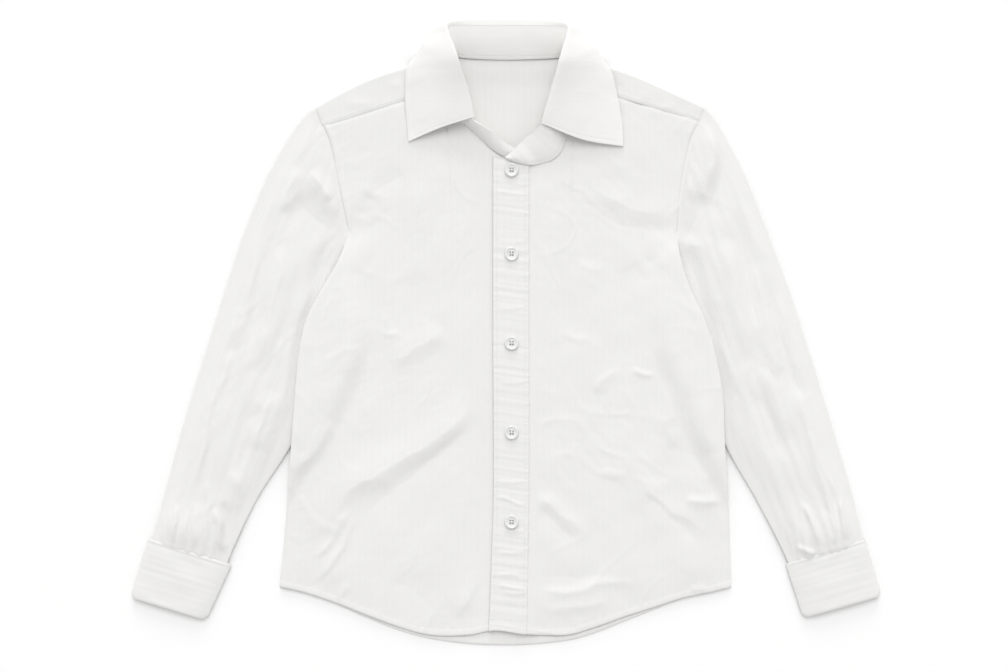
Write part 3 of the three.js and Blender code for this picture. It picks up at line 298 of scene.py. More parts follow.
CREASES_LEFT_SLEEVE = [
    (1.1, 9, 5, [(164, 171), (169, 159), (171, 144), (169, 131), (161, 112)]),
    (-1.2, 7, 10, [(174, 157), (178, 137), (173, 116), (164, 97)]),
    (-2.2, 14, 14, [(163, 113), (158, 100), (152, 86), (148, 72)]),
    (-1.5, 10, 9, [(146, 69), (154, 48), (164, 13), (172, -16)]),
    (1.5, 9, 9, [(179, 77), (184, 48), (191, 8), (199, -25)]),
    (-1.1, 7, 7, [(187, 102), (194, 67), (200, 34), (207, 2)]),
    (1.3, 8, 8, [(202, 57), (210, 25), (217, -10), (225, -39)]),
    (-1.1, 7, 7, [(212, 52), (222, 11), (233, -33), (241, -56)]),
    (0.9, 6, 6, [(223, 34), (235, -7), (246, -49)]),
    (0.8, 4.5, 3.5, [(235, -39), (245, -71), (254, -108), (263, -133), (268, -167)]),
    (0.6, 3.5, 3, [(246, -80), (258, -107), (273, -138)]),
    (0.8, 6, 5, [(210, -28), (222, -56), (233, -89)]),
    (-0.7, 7, 6, [(202, -46), (217, -75), (230, -107)]),
    (0.9, 3, 2.4, [(237, -175), (245, -179), (255, -181)]),
    (0.9, 2.4, 2.2, [(241, -138), (251, -156), (256, -175)]),
    (0.9, 2.4, 2, [(273, -134), (276, -153), (279, -171)]),
    (0.5, 3.5, 3, [(261, -146), (268, -161), (269, -175)]),
    (0.5, 5, 5, [(196, 108), (205, 79), (214, 57)]),
]
CREASES_PLACKET = [
    (0.45, 1.6, 1.2, [(-9, -136), (-2, -135.5), (6, -139), (12, -141), (19, -141)]),
    (0.4, 1.5, 1.5, [(-8, -198.5), (5, -198.5), (12, -200)]),
    (0.4, 1.8, 1.4, [(-6, -206), (4, -209), (18, -211)]),
    (0.35, 2.0, 1.6, [(-3, -212), (8, -214), (19, -213)]),
    (0.3, 1.6, 1.4, [(-9, -122), (4, -123), (18, -122)]),
    (0.3, 1.6, 1.4, [(-4, -162), (8, -163), (18, -162)]),
    (0.3, 1.4, 1.4, [(-8, -180), (6, -181), (17, -180)]),
    (0.3, 2.0, 1.6, [(-8, 20), (4, 19), (18, 21)]),
    (0.16, 1.5, 1.5, [(-8, 121), (5, 119), (18, 120)]),
    (0.2, 1.6, 1.3, [(-8, 115), (3, 114), (18, 112)]),
    (0.14, 1.6, 1.6, [(-2, 108), (9, 109), (18, 107)]),
    (0.22, 2.6, 2.2, [(-8, 75), (5, 73), (18, 74)]),
    (0.3, 1.8, 1.6, [(-6, -40), (6, -42), (18, -40)]),
]
CREASES_YOKE = [
    (0.4, 6, 5, [(-132, 190), (-120, 186), (-108, 188)]),
    (0.35, 5, 5, [(-92, 206), (-84, 199), (-78, 190)]),
    (0.4, 5, 5, [(118, 196), (110, 190), (104, 184)]),
    (0.4, 6, 5, [(140, 188), (132, 183), (126, 184)]),
    (-0.35, 6, 6, [(96, 205), (90, 198), (88, 190)]),
]

# ---------------------------------------------------------------- small mathematics


def clamp01(t):
    return np.clip(t, 0, 1)


def lerp(a, b, t):
    return a + (b - a) * t


def smooth(t):
    """From 0 to 1 with no slope at either."""
    c = clamp01(t)
    return c * c * (3 - 2 * c)


def bump(t):
    """1 at 0, and 0 from -1 and 1 on."""
    return smooth(1 - np.abs(t))


def hermite(a, b, slope_a, slope_b, t):
    """A cubic from a to b with the slopes at both."""
    t2 = t * t
    t3 = t2 * t
    return (a * (2 * t3 - 3 * t2 + 1) + slope_a * (t3 - 2 * t2 + t)
            + b * (3 * t2 - 2 * t3) + slope_b * (t3 - t2))


def table_curve(rows, column):
    """A smooth function of the first column of a table, read from another column."""
    at_rows = np.array([row[0] for row in rows], float)
    values = np.array([row[column] for row in rows], float)
    last = len(rows) - 1
    before = np.maximum(np.arange(last + 1) - 1, 0)
    after = np.minimum(np.arange(last + 1) + 1, last)
    slope = (values[after] - values[before]) / (at_rows[after] - at_rows[before])

    def curve(at):
        at = np.asarray(at, float)
        k = np.clip(np.searchsorted(at_rows, at) - 1, 0, last - 1)
        span = at_rows[k + 1] - at_rows[k]
        t = (at - at_rows[k]) / span
        inside = hermite(values[k], values[k + 1], slope[k] * span, slope[k + 1] * span, clamp01(t))
        before_first = slope[0] * np.minimum(at - at_rows[0], 0)
        past_last = slope[last] * np.maximum(at - at_rows[last], 0)
        return inside + before_first + past_last
    return curve


def through_points(points):
    """A smooth line through points of any dimension, read by 0..1 of their number."""
    points = np.array(points, float)
    last = len(points) - 1

    def line(t):
        at = clamp01(np.asarray(t, float)) * last
        k = np.minimum(at.astype(int), last - 1)
        f = (at - k)[..., None]
        p0 = points[np.maximum(k - 1, 0)]
        p1 = points[k]
        p2 = points[k + 1]
        p3 = points[np.minimum(k + 2, last)]
        return hermite(p1, p2, (p2 - p0) / 2, (p3 - p1) / 2, f)
    return line


def coons_patch(low, high, start, end):
    """A patch between four edges that share their corners: each gives x y at 0..1."""
    def patch(u, v):
        u = np.asarray(u, float)
        v = np.asarray(v, float)
        across = lerp(start(v), end(v), u[..., None])
        along = lerp(low(u), high(u), v[..., None])
        zero = np.zeros(())
        one = np.ones(())
        corners = lerp(
            lerp(low(zero), low(one), u[..., None]),
            lerp(high(zero), high(one), u[..., None]),
            v[..., None],
        )
        return across + along - corners
    return patch


def xy(x, y):
    """Points in plan from their coordinates, spread to one shape."""
    return np.stack(np.broadcast_arrays(np.asarray(x, float), np.asarray(y, float)), -1)


def xyz(x, y, z):
    return np.stack(np.broadcast_arrays(x, y, z), -1)


def steps(length, pitch, start=(0, 1), end=(0, 1)):
    """Places 0..1 along a length, with a finer (reach, pitch) at either end."""
    first = np.linspace(0, start[0], max(1, round(start[0] / start[1])) + 1)
    last = length - np.linspace(0, end[0], max(1, round(end[0] / end[1])) + 1)
    middle_count = max(1, round((length - start[0] - end[0]) / pitch))
    middle = np.linspace(start[0], length - end[0], middle_count + 1)
    return np.unique(np.concatenate([first, middle, last])) / length


def ripples(x, y, seed, size, heading, spread, waves=16):
    """Uneven ripples about 1 high: seeded waves of about one size whose crests run
    at about one heading, in degrees from +X."""
    random = np.random.default_rng(seed)
    total = 0
    for _ in range(waves):
        angle = math.radians(random.normal(heading + 90, spread))
        length = size * math.exp(random.normal(0, 0.35))
        phase = random.uniform(0, 2 * math.pi)
        along = x * math.cos(angle) + y * math.sin(angle)
        total = total + np.sin(2 * math.pi * along / length + phase)
    return total / math.sqrt(waves)


def nearest_on(line, x, y):
    """Distance to a line of points, signed + on the left of its way, and 0..1 along it."""
    shape = np.broadcast(x, y).shape
    nearest = np.full(shape, np.inf)
    signed = np.zeros(shape)
    along = np.zeros(shape)
    for k in range(len(line) - 1):
        dx, dy = line[k + 1] - line[k]
        t = clamp01(((x - line[k, 0]) * dx + (y - line[k, 1]) * dy) / (dx * dx + dy * dy))
        away_x = x - line[k, 0] - t * dx
        away_y = y - line[k, 1] - t * dy
        distance = np.hypot(away_x, away_y)
        closer = distance < nearest
        nearest = np.where(closer, distance, nearest)
        signed = np.where(closer, np.sign(dx * away_y - dy * away_x) * distance, signed)
        along = np.where(closer, (k + t) / (len(line) - 1), along)
    return signed, along


CREASE_FADE = 0.3         # share of a crease over which each end fades out
CREASE_HEIGHT = 1.1       # times the tables' rises
CREASE_LINE = {"rise": 0.36, "width": 1.7, "wander": 1.1}   # the crisp line along a crease
CREASE_SEED = 5


def crease_relief(creases, x, y):
    """The height that a table of creases gives to points."""
    height = np.zeros(np.broadcast(x, y).shape)
    wander = CREASE_LINE["wander"] * ripples(x, y, CREASE_SEED, size=23, heading=0, spread=90, waves=8)
    for rise, right, left, points in creases:
        line = through_points(points)(np.linspace(0, 1, 4 * len(points)))
        signed, along = nearest_on(line, x, y)
        width = np.where(signed > 0, left, right)
        fade = smooth(along / CREASE_FADE) * smooth((1 - along) / CREASE_FADE)
        soft = CREASE_HEIGHT * rise * np.exp(-(signed / width) ** 2)
        off_line = (signed + wander) / CREASE_LINE["width"]
        crisp = np.sign(rise) * CREASE_LINE["rise"] * np.exp(-off_line ** 2)
        height += fade * (soft + min(1, abs(rise)) * crisp)
    return height


# ---------------------------------------------------------------- how the layers lie

side_x = {"right": table_curve(SIDE_ROWS, 1), "left": table_curve(SIDE_ROWS, 2)}
armhole_x = {"right": table_curve(ARMHOLE_ROWS, 1), "left": table_curve(ARMHOLE_ROWS, 2)}
front_hem_y = table_curve(HEM_ROWS, 1)
back_hem_y = table_curve(HEM_ROWS, 2)
yoke_top_y = table_curve(YOKE_TOP_ROWS, 1)
placket_free_x = table_curve(PLACKET_ROWS, 1)
placket_sewn_x = table_curve(PLACKET_ROWS, 2)
tucked_edge_x = {
    side: table_curve(sorted((row[3], row[2]) for row in SLEEVE_ROWS[side]), 1)
    for side in ("right", "left")
}

CHORD_ROOM = 0.2          # more air at a seam whose straight steps cut its curve short
SEAM_OVERLAP = 0.75       # how far a seam's upper edge reaches over the lower piece
COLLAR_LIFT = 1.7         # the collar leaf raises the yoke by this
COLLAR_UNDER = {"x": 2, "half_width": 88, "from_y": 198, "ease_x": 16, "ease_y": 22}
SLEEVE_LIFT = 4.6         # a tucked sleeve raises the body by this
TUCK_TOP_Y = 88           # the sleeves lie under the body below this
TUCK_EASE_Y = 46
TUCK_EASE_X = 30
NECK_CENTRE = (3, 185)    # round it the back and the fronts lie close together
NECK_REACH = (60, 50)


def lift(x, y):
    """How far the back is lifted off the table, by the collar leaf and the tucked sleeves."""
    from_edge = COLLAR_UNDER["half_width"] - np.abs(x - COLLAR_UNDER["x"])
    on_leaf = smooth((y - COLLAR_UNDER["from_y"]) / COLLAR_UNDER["ease_y"])
    collar = COLLAR_LIFT * on_leaf * smooth(from_edge / COLLAR_UNDER["ease_x"])
    below = smooth((TUCK_TOP_Y - y) / TUCK_EASE_Y)
    right = smooth((tucked_edge_x["right"](y) + TUCK_EASE_X + 2 - x) / TUCK_EASE_X)
    left = smooth((x - tucked_edge_x["left"](y) + TUCK_EASE_X + 2) / TUCK_EASE_X)
    return collar + SLEEVE_LIFT * below * np.maximum(right, left)


def slack(x, y):
    """The air between the back and what lies on it."""
    inside = np.minimum(x - side_x["right"](y), side_x["left"](y) - x) / SIDE_EASE
    at_armholes = smooth((y - 70) / 35)
    sides = np.maximum(smooth(inside), at_armholes)
    hem = smooth((y - front_hem_y(x)) / HEM_EASE)
    from_neck = np.hypot((x - NECK_CENTRE[0]) / NECK_REACH[0], (y - NECK_CENTRE[1]) / NECK_REACH[1])
    neck = smooth((from_neck - 1) / 0.5)
    climb = clamp01(lift(x, y) / SLEEVE_LIFT)
    crown = (BODY_CROWN["rise"] * np.cos(math.pi * x / BODY_CROWN["width"])
             * np.cos(math.pi * y / BODY_CROWN["length"]))
    most = SLACK + crown - LEAST_AIR
    return LEAST_AIR + most * sides * hem * neck + BRIDGE_AIR * 4 * climb * (1 - climb)


def back_top(x, y):
    """Top of the back's CAD wall, on which everything else is laid."""
    return lift(x, y) + CLOTH


# heights and depths of the relief; a curl is how far in from an edge it starts and how
# far the edge itself turns down
HEM = {"rise": 0.28, "groove": 0.3, "pucker": 0.13, "edge_drop": 0.5}
WRINKLES = {"fine": 0.085, "broad": 0.26, "line": 0.3, "cross_line": 0.26}
SIDE_CURL = (5.0, 0.95)
ARMHOLE_CURL = (1.9, 0.7)
YOKE_CURL = (0.9, 0.3)
PLACKET_FREE_CURL = (1.4, 0.55)
PLACKET_SEWN_CURL = (1.4, 0.5)
ARMHOLE = {"ridge": 0.14, "stitch_dip": 0.12, "yoke_drop": 0.62}
PLACKET = {"stitch_dip": 0.16, "pucker": 0.13, "edge_pucker": 0.09, "under_button": 0.12}
CUFF_RELIEF = {"groove": 0.26, "ridge": 0.06, "grain": 0.06, "pull": 0.22}


def hem_band(distance, along):
    """A turned-up hem: a raised band, its stitching groove and small puckers along it."""
    band = HEM["rise"] * smooth((HEM_BAND + 1.4 - distance) / 1.6)
    groove = -HEM["groove"] * bump((distance - HEM_BAND) / 1.1)
    uneven_wave = np.sin(2 * math.pi * along / 7.3 + 1.7 * np.sin(along / 19))
    pucker = HEM["pucker"] * uneven_wave * bump((distance - 4.4) / 5)
    edge = -HEM["edge_drop"] * smooth((0.9 - distance) / 0.9)
    return band + groove + pucker + edge


def soft_floor(relief, room):
    """Relief that sinks no deeper than the room under it, easing as it nears it."""
    return np.where(relief < 0, -room * (1 - np.exp(relief / np.maximum(room, 0.05))), relief)


def curl(distance, reach, drop):
    """How far a panel's edge turns down within reach of the edge."""
    t = clamp01(1 - distance / reach)
    return -drop * (1 - np.sqrt(1 - 0.98 * t * t)) / (1 - math.sqrt(0.02))


def small_wrinkles(x, y, seed, heading):
    """Fine slack of laid cotton, stronger in some places than in others, with crisp lines."""
    fine = WRINKLES["fine"] * ripples(x, y, seed, size=11, heading=heading, spread=32)
    broad = WRINKLES["broad"] * ripples(x, y, seed + 1, size=58, heading=heading + 20, spread=45)
    where = clamp01(0.55 + 0.45 * ripples(x, y, seed + 2, size=130, heading=0, spread=90, waves=8))
    line = np.exp(-(ripples(x, y, seed + 3, size=70, heading=heading, spread=40) / 0.16) ** 2)
    cross = ripples(x, y, seed + 4, size=85, heading=heading + 55, spread=35)
    cross_line = np.exp(-(cross / 0.14) ** 2)
    here = smooth(2.2 * where - 0.9)
    there = smooth(1.2 - 2.4 * where)
    lines = WRINKLES["line"] * line * here
    return broad + fine * where + lines + WRINKLES["cross_line"] * cross_line * there


def body_edges(side, x, y, seam_y):
    """Relief of a front along its side, armhole, yoke seam and hem."""
    outward = OUTWARD[side]
    from_side = outward * (side_x[side](y) - x)
    from_armhole = outward * (armhole_x[side](y) - x)
    below = smooth((UNDERARM_Y + 4 - y) / 8)
    side_curl = curl(from_side, *SIDE_CURL) * below
    arm_curl = curl(from_armhole + SEAM_OVERLAP, *ARMHOLE_CURL) * (1 - below)
    seam_ridge = ARMHOLE["ridge"] * bump((from_armhole - 3.0) / 4.4) * (1 - below)
    stitch_dip = -ARMHOLE["stitch_dip"] * bump((from_armhole - 5.6) / 1.6) * (1 - below)
    yoke = -ARMHOLE["yoke_drop"] * smooth(1 - np.maximum(seam_y - y, 0) / 3.6)
    hem = hem_band((y - front_hem_y(x)) * HEM_SHARE, x)
    return side_curl + arm_curl + seam_ridge + stitch_dip + yoke + hem


def yoke_seam_y(side, x):
    """Where the yoke's front seam runs."""
    arm_x, arm_y, neck_x, neck_y = YOKE_SEAM[side]
    return lerp(arm_y, neck_y, (x - arm_x) / (neck_x - arm_x))


def right_front_rest(x, y):
    """Top of the wearer's right front before its wrinkles, the room under it for them, and
    how free it is to wrinkle: not at all where it runs on under the placket."""
    free = smooth((-14 - x) / 24)
    air = lerp(LAYER_GAP, slack(x, y), free)
    return back_top(x, y) + air + CLOTH, np.maximum(0, air - LAYER_GAP), free


def left_front_rest(x, y):
    """The same of the wearer's left front, which laps over the right one under the placket."""
    free = smooth((x - 20) / 12)
    over_right = smooth((34 - x) / 14)
    air = np.maximum(slack(x, y), over_right * (2 * LAYER_GAP + CLOTH))
    return back_top(x, y) + air + CLOTH, np.maximum(0, air - LAYER_GAP), free


# form before wrinkles, creases, seed and heading of the fine slack
FRONTS = {
    "right": (right_front_rest, CREASES_RIGHT_FRONT, 11, 60),
    "left": (left_front_rest, CREASES_LEFT_FRONT, 21, 120),
}


def front_top(side, x, y):
    """Top of a front; its wrinkles sink no deeper than the air under it."""
    rest_of, creases, seed, heading = FRONTS[side]
    rest, room, free = rest_of(x, y)
    loose = crease_relief(creases, x, y) + small_wrinkles(x, y, seed, heading)
    relief = soft_floor(loose * free, room)
    return rest + relief + body_edges(side, x, y, yoke_seam_y(side, x))


def placket_rest(x, y):
    """Top of the placket before its relief."""
    return left_front_rest(x, y)[0] + CLOTH + SEAM_GAP


def strip_top(x, y):
    """Top of the yoke's strips in front, before their relief."""
    return back_top(x, y) + slack(x, y) + CLOTH


# ---------------------------------------------------------------- meshes

CLOTH_SHARP_ANGLE = 55    # steeper edges of the cloth stay sharp
BUTTON_SHARP_ANGLE = 32


def placed(name, data):
    """A new object in the scene."""
    thing = bpy.data.objects.new(name, data)
    bpy.context.scene.collection.objects.link(thing)
    return thing


def new_piece(name, points, faces):
    """A mesh piece from points in millimetres."""
    mesh = bpy.data.meshes.new(name)
    mesh.from_pydata((points * MM).tolist(), [], faces)
    return placed(name, mesh)


def closed_mesh(name, vertices, quads, weave):
    """A smooth piece whose faces look outwards, with its weave coordinates in metres."""
    used, compact = np.unique(quads, return_inverse=True)
    vertices = vertices[used]
    weave = weave[used]
    quads = compact.reshape(quads.shape)
    a, b, c, d = (vertices[quads[:, k]] for k in range(4))
    volume = (a * np.cross(b, c)).sum() + (a * np.cross(c, d)).sum()
    if volume < 0:
        quads = quads[:, ::-1]
    piece = new_piece(name, vertices, quads.tolist())
    layer = piece.data.uv_layers.new(name="weave")
    layer.data.foreach_set("uv", (weave[quads.ravel()] * MM).ravel())
    piece.data.shade_smooth()
    piece.data.set_sharp_from_angle(angle=math.radians(CLOTH_SHARP_ANGLE))
    return piece


def wall(name, top, under, weave, keep=None, ring=False):
    """A closed wall between two grids of points; cells may be left out."""
    columns, rows = top.shape[:2]
    across = columns if ring else columns - 1
    if keep is None:
        keep = np.ones((across, rows - 1), bool)

    def at(layer, i, j):
        return layer * columns * rows + (i % columns) * rows + j
    i, j = np.nonzero(keep)
    quads = [
        np.stack([at(0, i, j), at(0, i + 1, j), at(0, i + 1, j + 1), at(0, i, j + 1)], -1),
        np.stack([at(1, i, j), at(1, i, j + 1), at(1, i + 1, j + 1), at(1, i + 1, j)], -1),
    ]
    around = np.zeros((across + 2, rows + 1), bool)
    around[1:-1, 1:-1] = keep
    if ring:
        around[0] = around[-2]
        around[-1] = around[1]
    sides = (
        (0, -1, (0, 0), (1, 0)), (1, 0, (1, 0), (1, 1)),
        (0, 1, (1, 1), (0, 1)), (-1, 0, (0, 1), (0, 0)),
    )
    for di, dj, (i0, j0), (i1, j1) in sides:
        open_side = ~around[i + 1 + di, j + 1 + dj]
        a, b = i[open_side], j[open_side]
        quads.append(np.stack([
            at(0, a + i0, b + j0), at(1, a + i0, b + j0),
            at(1, a + i1, b + j1), at(0, a + i1, b + j1),
        ], -1))
    vertices = np.concatenate([top.reshape(-1, 3), under.reshape(-1, 3)])
    weave = np.tile(weave.reshape(-1, 2), (2, 1))
    return closed_mesh(name, vertices, np.concatenate(quads), weave)


def loop_ring(name, points, weave):
    """A closed mesh whose grid of points runs round on itself both ways."""
    columns, rows = points.shape[:2]
    i, j = (part.ravel() for part in grid(np.arange(columns), np.arange(rows)))
    after_i = (i + 1) % columns
    after_j = (j + 1) % rows
    quads = np.stack([
        i * rows + j, after_i * rows + j, after_i * rows + after_j, i * rows + after_j,
    ], -1)
    return closed_mesh(name, points.reshape(-1, 3), quads, weave.reshape(-1, 2))


def grid(u_steps, v_steps):
    """Every u with every v, as two arrays with u first."""
    return np.meshgrid(u_steps, v_steps, indexing="ij")


def grid_normals(points):
    """The way out of a grid of points, of length 1."""
    along = np.gradient(points, axis=0)
    across = np.gradient(points, axis=1)
    normal = np.cross(along, across)
    return normal / np.linalg.norm(normal, axis=-1, keepdims=True)


def panel(name, patch, top_of, u_steps, v_steps, thickness=SHELL):
    """A laid panel: a patch in plan, with its top's height from a function of x and y."""
    u, v = grid(u_steps, v_steps)
    plan = patch(u, v)
    x, y = plan[..., 0], plan[..., 1]
    top = xyz(x, y, top_of(x, y))
    under = top - np.array([0, 0, thickness])
    return wall(name, top, under, plan)


# ---------------------------------------------------------------- stitches

stitch_paths = []


def sew(points):
    """Keeps a line of points for the stitches that run along it."""
    stitch_paths.append(np.asarray(points, float))


def stitch_frames(points):
    """Middle and way of each stitch along a line, STITCH_PITCH apart."""
    gaps = np.linalg.norm(np.diff(points, axis=0), axis=1)
    travelled = np.concatenate([[0], np.cumsum(gaps)])
    count = int(travelled[-1] / STITCH_PITCH)
    at = (np.arange(count) + 0.5) * travelled[-1] / count

    def point_at(distance):
        return np.stack([np.interp(distance, travelled, points[:, axis]) for axis in range(3)], -1)
    way = point_at(at + 0.6) - point_at(at - 0.6)
    return point_at(at), way / np.linalg.norm(way, axis=1, keepdims=True)


def add_stitches():
    """Every stitch is a small spindle lying along its line, all joined in one mesh."""
    ends = np.array([[1, 0, 0], [0, 1, 0], [0, 0, 1], [0, -1, 0], [0, 0, -1], [-1, 0, 0]], float)
    faces = [
        (0, 1, 2), (0, 2, 3), (0, 3, 4), (0, 4, 1),
        (5, 2, 1), (5, 3, 2), (5, 4, 3), (5, 1, 4),
    ]
    size = np.array([STITCH["length"] / 2, STITCH["width"] / 2, STITCH["rise"]])
    vertices = []
    for points in stitch_paths:
        middle, way = stitch_frames(points)
        side = np.cross([0, 0, 1], way)
        side /= np.linalg.norm(side, axis=1, keepdims=True) + 1e-9
        up = np.cross(way, side)
        local = ends * size
        block = (middle[:, None] + local[None, :, :1] * way[:, None]
                 + local[None, :, 1:2] * side[:, None] + local[None, :, 2:] * up[:, None])
        vertices.append(block.reshape(-1, 3))
    vertices = np.concatenate(vertices)
    first = np.arange(0, len(vertices), len(ends))
    triangles = (first[:, None, None] + np.array(faces)).reshape(-1, 3)
    piece = new_piece("stitches", vertices, triangles.tolist())
    piece.data.shade_smooth()
    return piece


# ---------------------------------------------------------------- body panels


def side_edge(side, hem_y, top_y, split):
    """A side edge at 0..1: the side seam up to the underarm, then the armhole to top_y."""
    def edge(v):
        below = lerp(hem_y, UNDERARM_Y, clamp01(v / split))
        above = lerp(UNDERARM_Y, top_y, clamp01((v - split) / (1 - split)))
        y = np.where(v <= split, below, above)
        over = SEAM_OVERLAP * smooth((y - UNDERARM_Y) / 6)
        x = np.where(v <= split, side_x[side](y), armhole_x[side](y))
        return xy(x + OUTWARD[side] * over, y)
    return edge


def sew_hem(x, hem_y, top_of):
    """The stitches of a hem, above the places x."""
    y = hem_y(x) + HEM_BAND
    sew(xyz(x, y, top_of(x, y)))


BACK_SPLIT = 15 / 18      # shares of the side edges that lie below the underarm
FRONT_SPLIT = 0.75
BACK_SINK = 0.25          # the back's cloth lies this much below the CAD wall's top
BACK_HEM = 0.9            # times the relief of a front's hem


def add_back():
    """The back, from its curved hem to the yoke seam."""
    top_y = BACK_YOKE_SEAM_Y - SEAM_GAP
    corner_right, corner_left = SIDE_ROWS[0][1], SIDE_ROWS[0][2]
    right = side_edge("right", back_hem_y(corner_right), top_y, BACK_SPLIT)
    left = side_edge("left", back_hem_y(corner_left), top_y, BACK_SPLIT)

    def hem(u):
        x = lerp(corner_right, corner_left, u)
        return xy(x, back_hem_y(x))

    def seam(u):
        return xy(lerp(armhole_x["right"](top_y), armhole_x["left"](top_y), u), top_y)
    patch = coons_patch(hem, seam, right, left)

    def top(x, y):
        hem_relief = hem_band((y - back_hem_y(x)) * HEM_SHARE, x + 40)
        return back_top(x, y) - BACK_SINK + BACK_HEM * hem_relief
    u_steps = steps(370, 3.2, (6, 2), (6, 2))
    v_steps = steps(400, 5, (16, 1))
    sew_hem(np.arange(-182, 183, 1.0), back_hem_y, top)
    return panel("back_body_cloth", patch, top, u_steps, v_steps, BACK_SHELL)


FAR_WEAVE = 500           # sets the weave of the strips in front off from the back layer's


def add_yoke():
    """The yoke: its back layer, the folds over both shoulders and the strips in front."""
    shoulder, neck = 64, 40
    back_rows, fold_rows, front_rows = 30, 12, 20
    columns = 2 * shoulder + neck
    rows = back_rows + fold_rows + front_rows
    share = np.arange(columns + 1)[:, None]
    row = np.arange(rows + 1)[None, :]
    on_right = share <= shoulder
    on_left = share >= shoulder + neck
    t_right = share / shoulder
    t_left = (columns - share) / shoulder
    t_neck = (share - shoulder) / neck

    def column_x(right_x, left_x):
        middle = lerp(NECK_END_RIGHT_X, NECK_END_LEFT_X, t_neck)
        right = lerp(right_x, NECK_END_RIGHT_X, t_right)
        left = lerp(left_x, NECK_END_LEFT_X, t_left)
        return np.where(on_right, right, np.where(on_left, left, middle))
    tip_y = 183
    top_x = column_x(armhole_x["right"](tip_y), armhole_x["left"](tip_y))
    fold_y = yoke_top_y(top_x)
    gap_air = slack(top_x, fold_y - 6)
    turn = (CLOTH + gap_air) / 2
    back_y = fold_y - turn - CLOTH / 2
    low_x = column_x(armhole_x["right"](BACK_YOKE_SEAM_Y), armhole_x["left"](BACK_YOKE_SEAM_Y))

    def hold_ends(x, y):
        x = np.where(share == 0, armhole_x["right"](y) - SEAM_OVERLAP, x)
        return np.where(share == columns, armhole_x["left"](y) + SEAM_OVERLAP, x)

    right_x = lerp(YOKE_SEAM["right"][0], YOKE_SEAM["right"][2], t_right)
    left_x = lerp(YOKE_SEAM["left"][0], YOKE_SEAM["left"][2], t_left)
    end_x = np.where(on_right, right_x, left_x)
    end_y = np.where(on_right, yoke_seam_y("right", end_x), yoke_seam_y("left", end_x))

    def face(outer):
        """The yoke's outer or inner face: up its back, over the folds and down in front."""
        t = row / back_rows
        y = lerp(BACK_YOKE_SEAM_Y, back_y, t)
        x = hold_ends(lerp(low_x, top_x, t), y)
        back = xyz(x, y, lift(x, y) + (0 if outer else SHELL))
        radius = turn + (CLOTH / 2 if outer else CLOTH / 2 - SHELL)
        angle = math.pi * (row - back_rows) / fold_rows
        middle_z = lift(top_x, back_y) + CLOTH / 2 + turn
        fold = xyz(top_x, back_y + radius * np.sin(angle), middle_z - radius * np.cos(angle))
        t = (row - back_rows - fold_rows) / front_rows
        y = lerp(back_y, end_y - SEAM_OVERLAP, t)
        x = hold_ends(lerp(top_x, end_x, t), y)
        rest = back_top(x, y) + slack(x, y) * t + gap_air * (1 - t) + CLOTH
        front = xyz(x, y, rest + yoke_relief(x, y) * smooth(t * 4) - (0 if outer else SHELL))
        return np.where((row <= back_rows)[..., None], back,
                        np.where((row <= back_rows + fold_rows)[..., None], fold, front))
    cells = np.arange(columns)
    keep = np.ones((columns, rows), bool)
    keep[(cells >= shoulder) & (cells < shoulder + neck), back_rows:] = False
    outer = face(True)
    inner = face(False)
    weave = outer[..., :2].copy()
    weave[..., 1] += FAR_WEAVE * (row > back_rows)
    for side in ("right", "left"):
        arm_x, _, neck_x, _ = YOKE_SEAM[side]
        x = lerp(arm_x, neck_x * 0.96, np.linspace(0.01, 1, 100))
        y = yoke_seam_y(side, x) + 2.2
        sew(xyz(x, y, strip_top(x, y) + yoke_relief(x, y)))
    return wall("yoke_cloth", outer, inner, weave, keep)


def yoke_relief(x, y):
    """Edges, seam stitching and a few soft creases of the strips over the shoulders."""
    side_right = x < 0
    seam_y = np.where(side_right, yoke_seam_y("right", x), yoke_seam_y("left", x))
    from_seam = y - seam_y
    arm = np.where(side_right, x - armhole_x["right"](y), armhole_x["left"](y) - x)
    over_seam = from_seam + SEAM_OVERLAP
    edge = 0.1 * bump((from_seam - 1.8) / 2.6) - 0.42 * smooth(1 - over_seam / 1.3)
    return (edge + curl(arm + SEAM_OVERLAP, *YOKE_CURL) + 0.12 * bump((arm - 3.0) / 4)
            + crease_relief(CREASES_YOKE, x, y) + 0.5 * small_wrinkles(x, y, 31, 20))


FRONT_V_STEPS = steps(440, 1.5, (8, 0.9), (4, 1.0))


def add_right_front():
    """The wearer's right front, which runs on under the placket."""
    seam_share = 8 / 15
    arm_x, arm_y, neck_x, neck_y = YOKE_SEAM["right"]
    side = side_edge("right", front_hem_y(SIDE_ROWS[0][1]), arm_y, FRONT_SPLIT)
    neck = through_points([(neck_x, neck_y), *NECK_RIGHT, NECK_RIGHT_END])

    def top(u):
        t = clamp01(u / seam_share)
        on_seam = xy(lerp(arm_x, neck_x, t), lerp(arm_y, neck_y, t))
        on_neck = neck((u - seam_share) / (1 - seam_share))
        return np.where((u <= seam_share)[..., None], on_seam, on_neck)

    def hem(u):
        x = lerp(SIDE_ROWS[0][1], PANEL_CENTRE_RIGHT_X - 1.5, u)
        return xy(x, front_hem_y(x))
    corner = hem(np.ones(()))

    def centre(v):
        return xy(lerp(corner[0], PANEL_CENTRE_RIGHT_X, v), lerp(corner[1], NECK_RIGHT_END[1], v))

    def top_of(x, y):
        return front_top("right", x, y)
    patch = coons_patch(hem, top, side, centre)
    u_steps = steps(203, 1.5, (6, 1.0), (0, 1))
    sew_hem(np.arange(-181, -14, 1.0), front_hem_y, top_of)
    return panel("front_right_cloth", patch, top_of, u_steps, FRONT_V_STEPS)


